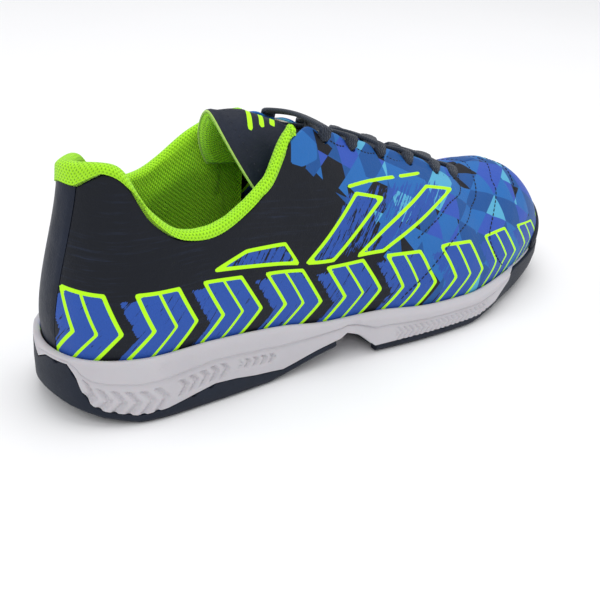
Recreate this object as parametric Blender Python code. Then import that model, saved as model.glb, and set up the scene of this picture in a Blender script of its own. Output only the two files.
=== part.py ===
"""A court shoe for the right foot: cup sole, lasted upper, padded collar, hinged tongue and laces.

The shoe is drawn in millimetres on its last: X from the heel to the toe, Y towards the inner
(medial) side and Z up from the ground. place() turns that into metres about the shoe's origin,
which is at the bottom centre of its box.

Every layer follows one lasted surface. Its columns are meridians that run from the feather edge,
where the upper enters the sole, to the top line; they are counted round the shoe from the back of
the heel (0) over the outer side to the toe (14) and back along the inner side (28 is 0 again).
Its levels go from 0 at the feather edge to 1 at the top line, and below 0 where the upper turns
in under the foot.
"""

import math

import bmesh
import bpy
import numpy as np

MM = 0.001
ORIGIN = np.array([140.75, 0.65, 0.0])

# Lasted surface. Each row: feather edge x, half width, z; top line x, half width, z; then how far
# the meridian bulges out and rises from the feather edge, and goes out and drops from the top line.
OUTER_SIDE = [
    [3, 0, 27.5, 13, 0, 98, 3, 22, 0, 22],
    [8, 21, 28, 24, 18.5, 100, 3, 22, 0, 20],
    [28, 33, 28, 38, 26, 82, 3, 18, 1, 16],
    [58, 35, 28, 60, 30, 73, 3, 13, 2, 12],
    [90, 35, 25, 86, 28, 85, 4, 18, 3, 16],
    [114, 36, 21, 107, 20, 104, 5, 25, 8, 16],
    [143, 39, 20, 139, 14, 93, 6, 24, 14, 10],
    [168, 42, 17, 172, 12, 80, 5, 20, 18, 5],
    [192, 43, 16, 203, 10, 67, 4, 17, 22, 2],
    [204, 42, 16, 217, 0, 62, 4, 16, 28, 0],
    [219, 39, 17, 225, 0, 62, 4, 15, 26, 0],
    [242, 32, 18, 233, 0, 62, 4, 15, 24, 0],
    [264, 21, 19, 240, 0, 61.5, 4, 14, 22, 0],
    [275, 8, 20, 244, 0, 60.5, 4, 13, 20, 0],
]
INNER_SIDE = [
    [3, 0, 27.5, 13, 0, 98, 3, 22, 0, 22],
    [12, 20.5, 28, 24, 18.5, 94, 3, 22, 0, 20],
    [29, 31.5, 28, 38, 26, 84, 3, 18, 1, 16],
    [60, 32, 28, 60, 30, 78, 3, 13, 2, 12],
    [92, 29, 26, 86, 28, 93.5, 5, 18, 3, 16],
    [115, 29, 24, 107, 20, 101, 7, 25, 8, 16],
    [143, 33, 22, 139, 14, 91, 7, 24, 14, 10],
    [169, 40, 20, 172, 12, 79, 5, 20, 18, 5],
    [192, 44, 18, 203, 10, 67, 4, 17, 22, 2],
    [205, 44, 18, 217, 0, 62, 4, 16, 28, 0],
    [223, 43, 18, 225, 0, 62, 4, 15, 26, 0],
    [244, 38, 19, 233, 0, 62, 4, 15, 24, 0],
    [262, 29, 20, 240, 0, 61.5, 4, 14, 22, 0],
    [274, 18, 21, 244, 0, 60.5, 4, 13, 20, 0],
]
TOE_TIP = [278.5, 6, 21, 246, 0, 59.5, 4, 13, 20, 0]
# Rises and dips of the top line between the rows: columns from the heel, half width and height.
TOP_SWELLS = [(0, 0.35, 1.5), (1.45, 0.4, 2.8), (2.4, 0.35, -1.5)]
COLUMNS = 28
THROAT_END = 9
TOE = 14

# Layers, measured inwards from the lasted surface.
GAP = 0.35
UPPER = 1.6
STIFFENER = 1.1
LINING = 0.6
TURN_IN = 12.0
TURN_DROP = 6.6

# Collar.
COLLAR_END = 5.0
EDGE_BELOW_TOP = [(0, 8.0), (0.4, 9.2), (0.6, 6.8), (0.85, 3.6)]
ROLL_RADIUS = 2.6
ROLL_BELOW_TOP = 2.6
COLLAR_SKIN = 0.9
BACKSTAY_HALF = 0.4

# Sole.
BASIN_DEPTH = TURN_DROP + 2 * GAP
RIM_OUT = 2.6
RIM_LIP = 0.6
SIDE_OUT = 3.4
TREAD_FLOOR = 3.0
TREAD_WALL = 1.7
REAR_TREAD_END = 5.2
FRONT_TREAD_START = 5.95
RIM_BAND = 1.5
WALL_TUCK = 0.6
TOE_TUCK = [(8.5, 0), (10.3, 3.5), (12, 3), (14, 1.5)]
WALL_LEAST = 0.6
GROUND_REAR = [(-5, 14), (0, 10), (6, 6.5), (14, 3), (26, 0), (86, 0), (98, 2.5), (110, 5.5), (122, 8)]
GROUND_FRONT = [(140, 0.5), (148, 0), (200, 0), (214, 1), (228, 3), (244, 5.4), (262, 7.8), (280, 11.5)]
ARCH = [(125, 13.5), (132, 11)]
REAR_WALL_TOP = [
    (0, 21), (0.3, 25), (0.8, 25.5), (0.95, 21), (1.03, 15), (1.2, 9), (1.5, 5), (1.9, 3.6),
    (2.3, 4.5), (2.7, 7.2), (3, 9), (3.3, 8.2), (3.6, 6.4), (4.3, 4),
]
FRONT_WALL_TOP = [(8.9, 4), (9.7, 7), (10.1, 12), (10.4, 15.5), (11.1, 16.8), (12.4, 17.8), (14, 19.5)]
BUMPER = 1.6
BUMPER_TOP = 0.38
BUMPER_FALL = 0.05
BUMPER_HALF = [0.5, 1, 1.5, 2, 2.4]

# Insole parts, above the feather edge.
BOARD = 1.8
BOARD_LOW = -TURN_DROP + UPPER + GAP
INSOLE_LOW = BOARD_LOW + BOARD + GAP
INSOLE_FOAM = 3.6
INSOLE_COVER = 0.8
INSOLE_IN = 5.8

# Laces.
EYELETS = [5.45, 5.95, 6.5, 7.05, 7.6, 8.2]
EYELET_IN = 7.5
EYELET_RADIUS = 2.6
LACE_RADIUS = 1.1
LACE_ABOVE = 2.5
LACE_BELOW = 5.1
LACE_LIFTS = (-1.0, 1.9)
LACE_TOP_BOW = 2.0
LACE_TAIL = [(209.5, 15.5, 52.5), (218, 15.5, 50.5)]
AGLET_RADIUS = 1.5
AGLET_LENGTH = 20.0

# Tongue. Each row: x, centre z, half width, drop of its edges and half angle of its arch.
TONGUE = [
    [80, 109, 19.5, 29, 72],
    [96, 106, 19, 28, 68],
    [110, 100, 17.6, 19, 62],
    [125, 92.8, 17.8, 12, 55],
    [140, 85.5, 17.5, 8, 45],
    [155, 79.3, 16.5, 5.5, 38],
    [170, 73.2, 15.5, 4, 30],
    [185, 66.8, 13.5, 3, 25],
    [199, 61.0, 10.5, 2, 20],
    [211, 55.5, 9, 1, 15],
]
TONGUE_SKIN = 0.9
TONGUE_FOAM = 3.0
TONGUE_PEAK_END = 0.3
TONGUE_PEAK_SHIFT = 4.0
TONGUE_LEAN = 9.0
TONGUE_PIVOT = (210.0, 0.0, 54.0)
INSOLE_PIVOT = (272.5, 0.0, 17.0)


# ---------------------------------------------------------------- lasted surface


def closed_table():
    """The rows of both sides as one closed loop round the shoe, with y signed."""
    outer = np.array(OUTER_SIDE, float)
    inner = np.array(INNER_SIDE, float)
    outer[:, [1, 4]] *= -1
    return np.vstack([outer, [TOE_TIP], inner[:0:-1]])


TABLE = closed_table()


def rows_at(column):
    """The table's rows, joined smoothly, at any column number."""
    column = np.asarray(column, float) % COLUMNS
    low = np.floor(column).astype(int)
    t = (column - low)[..., None]
    before, a, b, after = (TABLE[(low + step) % COLUMNS] for step in (-1, 0, 1, 2))
    row = (2 * t**3 - 3 * t**2 + 1) * a + (t**3 - 2 * t**2 + t) * (b - before) / 2
    row = row + (3 * t**2 - 2 * t**3) * b + (t**3 - t**2) * (after - a) / 2
    side = np.minimum(column, COLUMNS - column)
    for centre, half, rise in TOP_SWELLS:
        row[..., 5] += rise * np.exp(-(((side - centre) / half) ** 2))
    outer_side = column < TOE
    row[..., 4] = np.where(outer_side, np.minimum(row[..., 4], 0), np.maximum(row[..., 4], 0))
    row[..., 4] = np.where(np.abs(column - TOE) <= TOE - THROAT_END, 0, row[..., 4])
    return row


def feather(column):
    """Points of the feather edge and its outward directions in plan."""
    point = rows_at(column)[..., 0:3]
    along = rows_at(np.asarray(column) + 0.05)[..., 0:3] - rows_at(np.asarray(column) - 0.05)[..., 0:3]
    out = np.stack([along[..., 1], -along[..., 0], 0 * along[..., 0]], -1)
    return point, out / np.linalg.norm(out, axis=-1, keepdims=True)


def ridge_slope(column, top):
    """How the vamp's ridge falls towards the toe, so that both halves meet without a crease."""
    ridge = np.abs(np.asarray(column, float) % COLUMNS - TOE) <= TOE - THROAT_END
    return np.where(ridge, np.interp(top[..., 0], [225, 240, 247], [0.0, -0.1, -0.25]), 0.0)


def surface(column, level):
    """The lasted surface at levels 0 to 1: a cubic curve up each meridian."""
    row = rows_at(column)
    foot, out = feather(column)
    top = row[..., 3:6]
    bulge, rise, reach, drop = (row[..., i : i + 1] for i in range(6, 10))
    up = np.array([0.0, 0.0, 1.0])
    aim = (foot - top) * [1, 1, 0]
    aim = aim / (np.linalg.norm(aim, axis=-1, keepdims=True) + 1e-9)
    fall = (ridge_slope(column, top) * aim[..., 0])[..., None]
    second = foot + out * bulge + up * rise
    third = top + (aim + up * fall) * reach - up * drop
    t = np.asarray(level, float)[..., None]
    s = 1 - t
    return s**3 * foot + 3 * s**2 * t * second + 3 * s * t**2 * third + t**3 * top


def surface_normal(column, level):
    """Outward unit normals of the lasted surface."""
    column = np.asarray(column, float)
    level = np.clip(level, 0.01, 0.98)
    along = surface(column + 0.05, level) - surface(column - 0.05, level)
    rising = surface(column, level + 0.01) - surface(column, level - 0.01)
    normal = np.cross(along, rising)
    return normal / (np.linalg.norm(normal, axis=-1, keepdims=True) + 1e-12)


def normal_at(column, level):
    """Normals, made equal for the two halves where they meet on the vamp's ridge."""
    column, level = np.broadcast_arrays(np.asarray(column, float), np.asarray(level, float))
    normal = surface_normal(column, level)
    mirrored = surface_normal(COLUMNS - column, level)
    on_ridge = (level > 0.999) & (np.abs(column % COLUMNS - TOE) <= TOE - THROAT_END)
    both = np.where(on_ridge[..., None], normal + mirrored, normal)
    return both / np.linalg.norm(both, axis=-1, keepdims=True)


def layer(column, level, depth):
    """Points of a layer that lies depth inside the lasted surface."""
    depth = np.asarray(depth, float)[..., None]
    return surface(column, level) - normal_at(column, level) * depth


def floor_height(points):
    """Height of the foot bed at points: it follows both feather edges and tilts between them."""
    tip = TABLE[TOE : TOE + 1]
    edges = [np.vstack([TABLE[:TOE], tip]), np.vstack([TABLE[:1], TABLE[:TOE:-1], tip])]
    low, high = (np.interp(points[..., 0], edge[:, 0], edge[:, 2]) for edge in edges)
    weight = np.clip(0.5 + points[..., 1] / 60, 0, 1)
    return low + weight * (high - low)


def meridian_length(column):
    levels = np.linspace(0, 1, 41)
    points = surface(np.full(41, float(column)), levels)
    return float(np.linalg.norm(np.diff(points, axis=0), axis=1).sum())


def level_below_top(column, distance):
    return 1 - distance / meridian_length(column)


def mirror_columns(half):
    """Columns of one side, and the same on the other side, once round the shoe."""
    return list(half) + [COLUMNS - k for k in reversed(half) if 0 < k < TOE]


HEEL_HALF = [0, 0.4, 0.7, 1, 1.3, 1.6, 2, 2.5, 3, 3.5, 4, 4.5, 5]
FRONT_HALF = [5.5, 6, 6.5, 7, 7.5, 8, 8.5, 9, 9.7, 10.4, 11.1, 11.8, 12.4, 13, 13.5, TOE]
ROUND = mirror_columns(HEEL_HALF + [REAR_TREAD_END, 5.5, FRONT_TREAD_START] + FRONT_HALF[2:])


# ---------------------------------------------------------------- mesh building


def place(points):
    return (np.asarray(points, float) - ORIGIN) * MM


def make_material(name, color, roughness, metallic=0.0):
    material = bpy.data.materials.new(name)
    material.use_nodes = True
    shader = material.node_tree.nodes["Principled BSDF"]
    shader.inputs["Base Color"].default_value = (*color, 1)
    shader.inputs["Roughness"].default_value = roughness
    shader.inputs["Metallic"].default_value = metallic
    return material


def add_object(name, points, faces, material, pivot=None):
    """One closed mesh object. pivot, in the drawing's millimetres, becomes its origin."""
    at = place(pivot) if pivot is not None else np.zeros(3)
    mesh = bpy.data.meshes.new(name)
    mesh.from_pydata([tuple(p) for p in place(points) - at], [], faces)
    build = bmesh.new()
    build.from_mesh(mesh)
    bmesh.ops.triangulate(build, faces=[f for f in build.faces if len(f.verts) > 3])
    bmesh.ops.recalc_face_normals(build, faces=build.faces)
    if build.calc_volume(signed=True) < 0:
        bmesh.ops.reverse_faces(build, faces=build.faces)
    build.to_mesh(mesh)
    build.free()
    mesh.shade_smooth()
    mesh.set_sharp_from_angle(angle=math.radians(40))
    mesh.materials.append(material)
    made = bpy.data.objects.new(name, mesh)
    made.location = at
    bpy.context.scene.collection.objects.link(made)
    return made


def thick_sheet(name, outer, inner, material, closed=False, pivot=None):
    """A closed sheet between two grids of points [column][level], joined all along their edges.

    Points of the outer grid that coincide, as on the vamp's ridge, become one.
    """
    seen = {}
    ids = np.empty(outer.shape[:2], int)
    for at in np.ndindex(*ids.shape):
        ids[at] = seen.setdefault(tuple(np.round(outer[at], 3)), (len(seen), at))[0]
    places = [at for _, at in seen.values()]
    count = len(places)
    faces = []
    for j in range(len(ids) - (0 if closed else 1)):
        right = ids[(j + 1) % len(ids)]
        for i in range(ids.shape[1] - 1):
            a, b, c, d = ids[j, i], right[i], right[i + 1], ids[j, i + 1]
            faces += [tri for tri in ((a, b, c), (a, c, d)) if len(set(tri)) == 3]
    ends = {(f[i], f[(i + 1) % 3]) for f in faces for i in range(3)}
    rim = [(a, b) for a, b in ends if (b, a) not in ends]
    back = [(c + count, b + count, a + count) for a, b, c in faces]
    walls = [(b, a, a + count, b + count) for a, b in sorted(rim)]
    points = [outer[at] for at in places] + [inner[at] for at in places]
    return add_object(name, points, faces + back + walls, material, pivot)


def grid(columns, levels):
    """Matching column and level arrays; levels may be a function of the column."""
    rows = [levels(k) if callable(levels) else levels for k in columns]
    return np.array(columns, float)[:, None] + 0 * np.array(rows), np.array(rows, float)


def layer_sheet(name, columns, levels, depth, thickness, material, closed=False):
    k, v = grid(columns, levels)
    return thick_sheet(name, layer(k, v, depth), layer(k, v, depth + thickness), material, closed)


def ring(columns, out, height):
    """Points beside the feather edge: out mm outside it, at heights that may vary."""
    point, away = feather(np.array(columns, float))
    points = point + away * np.broadcast_to(out, len(columns))[:, None]
    points[:, 2] = height
    return points


def floor_ring(columns, out, above):
    """The same at a height above the foot bed."""
    points = ring(columns, out, 0.0)
    points[:, 2] = floor_height(points) + above
    return points


def ladder_solid(name, rings, material, closed=True, pivot=None):
    """A solid from rings stacked from its upper face to its lower one.

    The first and the last ring are filled by rungs between mirrored columns. An open ring,
    which runs round only one end of the shoe, is closed by faces across its two ends.
    """
    n = len(rings[0])
    last = len(rings) - 1
    faces = []
    for r in range(last):
        for j in range(n if closed else n - 1):
            a, b = r * n + j, r * n + (j + 1) % n
            faces.append((a, a + n, b + n, b))
    for r in (0, last):
        for j in range(n // 2):
            opposite = n - j if closed else n - 1 - j
            rung = [j, j + 1, (opposite - 1) % n, opposite % n]
            rung = [r * n + i for i in dict.fromkeys(rung)]
            if len(rung) > 2:
                faces.append(rung if r == 0 else rung[::-1])
    if not closed:
        for j in (0, n - 1):
            faces.append([r * n + j for r in range(last + 1)])
        faces.append([0, last * n, last * n + n - 1, n - 1])
    return add_object(name, np.vstack(rings), faces, material, pivot)


def section_loft(name, sections, material):
    """A solid through closed sections of equal length, capped at both ends."""
    n = len(sections[0])
    faces = []
    for s in range(len(sections) - 1):
        for i in range(n):
            a, b = s * n + i, s * n + (i + 1) % n
            faces.append((a, a + n, b + n, b))
    faces.append(list(range(n)))
    faces.append([(len(sections) - 1) * n + i for i in range(n)])
    return add_object(name, np.vstack(sections), faces, material)


# ---------------------------------------------------------------- sole


def profile(pairs, at):
    return np.interp(at, [p[0] for p in pairs], [p[1] for p in pairs])


def wall_top(columns, bottom):
    """Height where an outsole's wall ends: above its bottom and below the midsole's rim band."""
    columns = np.array(columns)
    side = np.minimum(columns, COLUMNS - columns)
    front = side > REAR_TREAD_END
    top = np.where(front, profile(FRONT_WALL_TOP, side), profile(REAR_WALL_TOP, side))
    rim = feather(columns)[0][:, 2]
    return np.minimum(np.maximum(top, bottom + WALL_LEAST), rim - RIM_BAND)


def tuck(columns):
    """How far the foot of the sole's wall is drawn in round the toe."""
    columns = np.array(columns)
    return profile(TOE_TUCK, np.minimum(columns, COLUMNS - columns))


def make_midsole(material):
    columns = np.array(ROUND)
    point, _ = feather(columns)
    x, rim = point[:, 0], point[:, 2]
    raised = TREAD_FLOOR + GAP
    under = [(a, b + raised) for a, b in GROUND_REAR] + ARCH + [(a, b + raised) for a, b in GROUND_FRONT]
    bottom = profile(under, x)
    step = wall_top(columns, bottom - GAP) + GAP
    band = rim - step
    lip = np.minimum(RIM_LIP, 0.3 * band)
    recess = SIDE_OUT - TREAD_WALL - GAP
    drawn = WALL_TUCK * tuck(columns)
    rings = [
        floor_ring(columns, GAP, -BASIN_DEPTH),
        ring(columns, GAP, rim - 0.3),
        ring(columns, 1.4, rim + 0.2),
        ring(columns, RIM_OUT, rim - lip),
        ring(columns, 3.1, rim - 0.42 * band),
        ring(columns, 2.4, rim - 0.5 * band),
        ring(columns, 3.1, rim - 0.58 * band),
        ring(columns, SIDE_OUT, step),
        ring(columns, recess, step),
        ring(columns, recess - 0.3 - drawn, bottom),
    ]
    return ladder_solid("midsole", rings, material)


def make_outsole(name, columns, ground, material):
    point, _ = feather(np.array(columns))
    low = profile(ground, point[:, 0])
    top = wall_top(columns, low + TREAD_FLOOR)
    drawn = WALL_TUCK * tuck(columns)
    rings = [
        ring(columns, SIDE_OUT - TREAD_WALL - 0.4 - drawn, low + TREAD_FLOOR),
        ring(columns, SIDE_OUT - TREAD_WALL, top),
        ring(columns, SIDE_OUT - 0.4, top),
        ring(columns, SIDE_OUT - 0.4 * drawn, top - 0.6 * (top - low)),
        ring(columns, SIDE_OUT - drawn, low + 1.4),
        ring(columns, SIDE_OUT - 1.4 - tuck(columns), low),
    ]
    return ladder_solid(name, rings, material, closed=False)


def make_outsoles(rubber):
    rear_half = [k for k in HEEL_HALF if k > 0] + [REAR_TREAD_END]
    rear = [COLUMNS - k for k in reversed(rear_half)] + [0] + rear_half
    make_outsole("outsole_rear", rear, GROUND_REAR, rubber)
    front_half = [FRONT_TREAD_START] + FRONT_HALF[2:-1]
    front = front_half + [TOE] + [COLUMNS - k for k in reversed(front_half)]
    make_outsole("outsole_front", front, GROUND_FRONT, rubber)


def make_toe_bumper(rubber):
    """A rubber cap glued on the upper, highest at the tip of the toe."""
    columns = [TOE - step for step in reversed(BUMPER_HALF)] + [TOE] + [TOE + step for step in BUMPER_HALF]

    def levels(k):
        return np.linspace(0.03, BUMPER_TOP - BUMPER_FALL * (k - TOE) ** 2, 5)

    layer_sheet("toe_bumper", columns, levels, -GAP - BUMPER, BUMPER, rubber)


def plate(name, inset, low, thickness, material, pivot=None):
    """A flat part inside the feather edge, at a height above it."""
    rings = [floor_ring(ROUND, -inset, low + thickness), floor_ring(ROUND, -inset, low)]
    return ladder_solid(name, rings, material, pivot=pivot)


def make_shank(material):
    """A spring steel strip below the board, along the middle of the waist."""
    width = {2.6: 6, 3.2: 8, 4: 8, 5: 7, 6: 7, 6.6: 5}
    low = -BASIN_DEPTH + 1.5 * GAP
    high = BOARD_LOW - 1.5 * GAP
    sections = []
    for k, half in width.items():
        lateral = feather(float(k))[0]
        medial = feather(COLUMNS - float(k))[0]
        across = (medial - lateral) / np.linalg.norm(medial - lateral)
        middle = (lateral + medial) / 2
        corners = []
        for y, above in ((-half, low), (half, low), (half, high), (-half, high)):
            corner = middle + across * y
            corner[2] = floor_height(corner) + above
            corners.append(corner)
        sections.append(np.array(corners))
    return section_loft("shank", sections, material)


# ---------------------------------------------------------------- upper


def collar_edge(k):
    """Level where the upper meets the rolled collar: lower on the tab at the back of the heel."""
    return level_below_top(k, profile(EDGE_BELOW_TOP, min(k, COLUMNS - k)))


def edge_level(k):
    """Where the upper's sheet ends: below the rolled collar, else at the top line."""
    return collar_edge(k) if min(k, COLUMNS - k) <= COLLAR_END else 1.0


BODY_LEVELS = np.array([0, 0.12, 0.26, 0.4, 0.54, 0.68, 0.8, 0.9, 1])


def upper_layer(columns, depth):
    """Grid of the upper's sheet, with its edge turned in under the foot below level 0."""
    k, v = grid(columns, lambda c: BODY_LEVELS * edge_level(c))
    body = layer(k, v, depth)
    turn = [
        floor_ring(columns, -TURN_IN, depth - TURN_DROP),
        floor_ring(columns, -1.8 - 0.3 * depth, depth - TURN_DROP),
        floor_ring(columns, -0.3 - depth, 1.8 + 0.3 * depth - TURN_DROP),
    ]
    return np.concatenate([np.stack(turn, 1), body], 1)


def make_upper(fabric, plain):
    half = [k for k in HEEL_HALF + FRONT_HALF if k > BACKSTAY_HALF]
    columns = [BACKSTAY_HALF + 0.02] + mirror_columns(half)
    columns += [COLUMNS - BACKSTAY_HALF - 0.02]
    outer, inner = (upper_layer(columns, d) for d in (0, UPPER))
    upper = thick_sheet("upper", outer, inner, fabric)
    back = [-BACKSTAY_HALF, 0, BACKSTAY_HALF]
    outer, inner = (upper_layer([k % COLUMNS for k in back], d) for d in (0, UPPER))
    thick_sheet("heel_backstay", outer, inner, plain)
    return upper


def make_stiffeners(counter, puff, backer):
    inside = UPPER + GAP
    heel = [-3.5, -3, -2.5, -2, -1.5, -1, -0.7, -0.4, 0, 0.4, 0.7, 1, 1.5, 2, 2.5, 3, 3.5]
    layer_sheet("heel_counter", heel, np.linspace(0.05, 0.46, 5), inside, STIFFENER, counter)
    toe = [TOE + step for step in (-2.2, -1.6, -1, -0.5, 0, 0.5, 1, 1.6, 2.2)]
    layer_sheet("toe_puff", toe, np.linspace(0.05, 0.7, 7), inside, 0.9, puff)
    rows = [5.5, 6, 6.5, 7, 7.5, 8, 8.5]
    levels = np.linspace(0.84, 1, 4)
    behind = inside + 0.15
    lateral = layer_sheet("eyestay_backer_lateral", rows, levels, behind, 0.9, backer)
    other = [COLUMNS - k for k in reversed(rows)]
    medial = layer_sheet("eyestay_backer_medial", other, levels, behind, 0.9, backer)
    return lateral, medial


def make_vamp_lining(material):
    """Lining of the forefoot: two wings beside the throat and a closed toe."""
    columns = mirror_columns(FRONT_HALF)

    def levels(k):
        side = min(k, COLUMNS - k)
        top = 0.8 if side < THROAT_END else np.interp(side, [THROAT_END, 10.4], [0.8, 0.95])
        return 0.05 + (top - 0.05) * np.linspace(0, 1, 8)

    depth = UPPER + STIFFENER + 2 * GAP
    layer_sheet("vamp_lining", columns, levels, depth, LINING, material)


# ---------------------------------------------------------------- collar


COLLAR_HALF = [0.4, 0.7, 1, 1.3, 1.6, 2, 2.5, 3, 3.5, 4, 4.5, 4.95]
COLLAR_COLUMNS = [-k for k in reversed(COLLAR_HALF)] + [0] + COLLAR_HALF


def collar_depth(level):
    """How far the collar's inner face stands inside the lasted surface."""
    return np.interp(level, [0, 0.5, 0.75, 0.9], [4.4, 4.9, 7.0, 2 * ROLL_RADIUS])


def roll_arc(k, radius, steps):
    """Points over the top of the collar, from its outer side to its inner side."""
    level = level_below_top(k, ROLL_BELOW_TOP)
    out = normal_at(k, level) * [1, 1, 0]
    out = out / np.linalg.norm(out)
    centre = surface(float(k), level) - out * ROLL_RADIUS
    angles = np.linspace(0, math.pi, steps)
    up = np.array([0.0, 0.0, 1.0])
    return [centre + radius * (math.cos(a) * out + math.sin(a) * up) for a in angles]


def inner_side(k, levels, less):
    """Points down the collar's inner face, moved outwards by less."""
    return [layer(float(k), v, collar_depth(v) - less) for v in levels]


def make_collar_lining(material):
    sections = []
    for column in COLLAR_COLUMNS:
        k = column % COLUMNS
        edge = collar_edge(k) + 0.006
        roll = level_below_top(k, ROLL_BELOW_TOP)
        down = np.linspace(roll - 0.06, 0.05, 8)
        face = [surface(k, edge), surface(k, (edge + roll) / 2)]
        face += roll_arc(k, ROLL_RADIUS, 7) + inner_side(k, down, 0)
        back = [layer(k, edge, COLLAR_SKIN), layer(k, (edge + roll) / 2, COLLAR_SKIN)]
        back += roll_arc(k, ROLL_RADIUS - COLLAR_SKIN, 7) + inner_side(k, down, COLLAR_SKIN)
        sections.append(np.array(face + back[::-1]))
    return section_loft("collar_lining", sections, material)


def make_collar_foam(material):
    less = COLLAR_SKIN + 0.5
    sections = []
    for column in COLLAR_COLUMNS[1:-1]:
        k = column % COLUMNS
        roll = level_below_top(k, ROLL_BELOW_TOP)
        rising = np.linspace(0.5, collar_edge(k) - 0.02, 4)
        outside = [layer(k, v, UPPER + 0.4) for v in rising]
        inside = inner_side(k, np.linspace(roll - 0.06, 0.5, 4), less)
        sections.append(np.array(outside + roll_arc(k, ROLL_RADIUS - less, 5) + inside))
    return section_loft("collar_foam", sections, material)


# ---------------------------------------------------------------- tongue


def tongue_surface(along, across):
    """The tongue's outer face: an arch that is peaked at its top edge and flat at its base."""
    table = np.array(TONGUE, float)
    at = along * (len(table) - 1)
    x, z, half, drop, angle = (np.interp(at, range(len(table)), table[:, i]) for i in range(5))
    turn = np.radians(angle)
    swept = across * turn
    arch = (1 - np.cos(swept)) / (1 - np.cos(turn))
    fold = (np.hypot(across, 0.2) - 0.2) / (np.hypot(1, 0.2) - 0.2)
    peak = np.clip(1 - along / TONGUE_PEAK_END, 0, 1)
    y = half * np.sin(swept) / np.sin(turn) + TONGUE_PEAK_SHIFT * peak * (1 - across**2)
    lean = TONGUE_LEAN * across**2 * (1 - along)
    return np.stack([x + lean, y, z - drop * (arch + peak * (fold - arch))], -1)


def tongue_layer(along, across, depth):
    step = 0.01
    a = tongue_surface(along + step, across) - tongue_surface(along - step, across)
    b = tongue_surface(along, across + step) - tongue_surface(along, across - step)
    normal = np.cross(a, b)
    normal = normal / np.linalg.norm(normal, axis=-1, keepdims=True)
    return tongue_surface(along, across) - normal * depth


def make_tongue(shell, foam, lining):
    layers = (
        ("tongue_shell", 0, TONGUE_SKIN, 1.0, shell),
        ("tongue_foam", TONGUE_SKIN + GAP, TONGUE_FOAM, 0.97, foam),
        ("tongue_lining", TONGUE_SKIN + TONGUE_FOAM + 2 * GAP, TONGUE_SKIN, 1.0, lining),
    )
    for name, depth, thickness, reach, material in layers:
        along, across = np.meshgrid(np.linspace(0, 1, 11), np.linspace(-reach, reach, 9), indexing="ij")
        faces = tongue_layer(along, across, depth), tongue_layer(along, across, depth + thickness)
        thick_sheet(name, *faces, material, pivot=TONGUE_PIVOT)


# ---------------------------------------------------------------- laces


def eyelet(k):
    """Level of an eyelet on its meridian."""
    return level_below_top(k, EYELET_IN)


def make_eyelet_punch():
    """Cutters for the twelve eyelets, square to the upper."""
    build = bmesh.new()
    for k in EYELETS + [COLUMNS - k for k in EYELETS]:
        normal = normal_at(k, eyelet(k))
        centre = place(layer(k, eyelet(k), 2))
        across = np.cross(normal, [1, 0, 0])
        across = across / np.linalg.norm(across)
        other = np.cross(normal, across)
        loops = []
        for end in (-6, 6):
            loop = []
            for a in np.arange(10) * math.tau / 10:
                point = (normal * end + EYELET_RADIUS * (math.cos(a) * across + math.sin(a) * other)) * MM
                loop.append(build.verts.new(centre + point))
            build.faces.new(loop)
            loops.append(loop)
        for i in range(10):
            j = (i + 1) % 10
            build.faces.new((loops[0][i], loops[0][j], loops[1][j], loops[1][i]))
    bmesh.ops.recalc_face_normals(build, faces=build.faces)
    mesh = bpy.data.meshes.new("eyelet_punch")
    build.to_mesh(mesh)
    build.free()
    punch = bpy.data.objects.new("eyelet_punch", mesh)
    punch.hide_render = True
    punch.display_type = "WIRE"
    bpy.context.scene.collection.objects.link(punch)
    return punch


def lace_stops(start):
    """Stops of half the lace, from above one top eyelet down to its tucked end.

    start is the side it enters first: -1 outer, 1 inner. It runs under that edge, over the
    tongue, over the other edge and into the next eyelet there.
    """
    side = start
    stops = []
    for row, k in enumerate(EYELETS):
        here = k if side < 0 else COLUMNS - k
        level = eyelet(here)
        stops += [layer(here, level, depth) for depth in (-LACE_ABOVE, 0.2, 2.4)]
        stops.append(layer(here, level + 0.01, LACE_BELOW))
        if row == len(EYELETS) - 1:
            break
        following = EYELETS[row + 1]
        there = COLUMNS - following if side < 0 else following
        stops.append(layer(here, 0.97, LACE_BELOW + 0.4))
        over = (surface(here, 1.0) + surface(there, 1.0)) / 2
        lift = LACE_LIFTS[(side < 0) == (row % 2 == 0)]
        stops.append(over + np.array([0, 0, lift]))
        stops.append(layer(there, 0.98, -LACE_ABOVE))
        side = -side
    half = np.sign(surface(here, level)[1])
    return stops + [np.array([x, half * y, z]) for x, y, z in LACE_TAIL]


def smooth_route(stops, steps):
    """Points along a Catmull-Rom curve through the stops, steps of them from stop to stop."""
    stops = np.array(stops)
    padded = np.vstack([2 * stops[0] - stops[1], stops, 2 * stops[-1] - stops[-2]])
    route = []
    for p0, p1, p2, p3 in zip(padded, padded[1:], padded[2:], padded[3:]):
        for t in np.arange(steps) / steps:
            curve = 2 * p1 + (p2 - p0) * t + (2 * p0 - 5 * p1 + 4 * p2 - p3) * t**2
            route.append((curve + (3 * p1 - p0 - 3 * p2 + p3) * t**3) / 2)
    return np.array(route + [stops[-1]])


def tube(name, route, radius, material):
    """A round cord along a route, with closed ends."""
    curve = bpy.data.curves.new(name, "CURVE")
    curve.dimensions = "3D"
    curve.bevel_depth = radius * MM
    curve.bevel_resolution = 2
    curve.use_fill_caps = True
    spline = curve.splines.new("POLY")
    spline.points.add(len(route) - 1)
    for point, at in zip(spline.points, place(route)):
        point.co = (*at, 1)
    curve.materials.append(material)
    made = bpy.data.objects.new(name, curve)
    bpy.context.scene.collection.objects.link(made)
    return made


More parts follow.
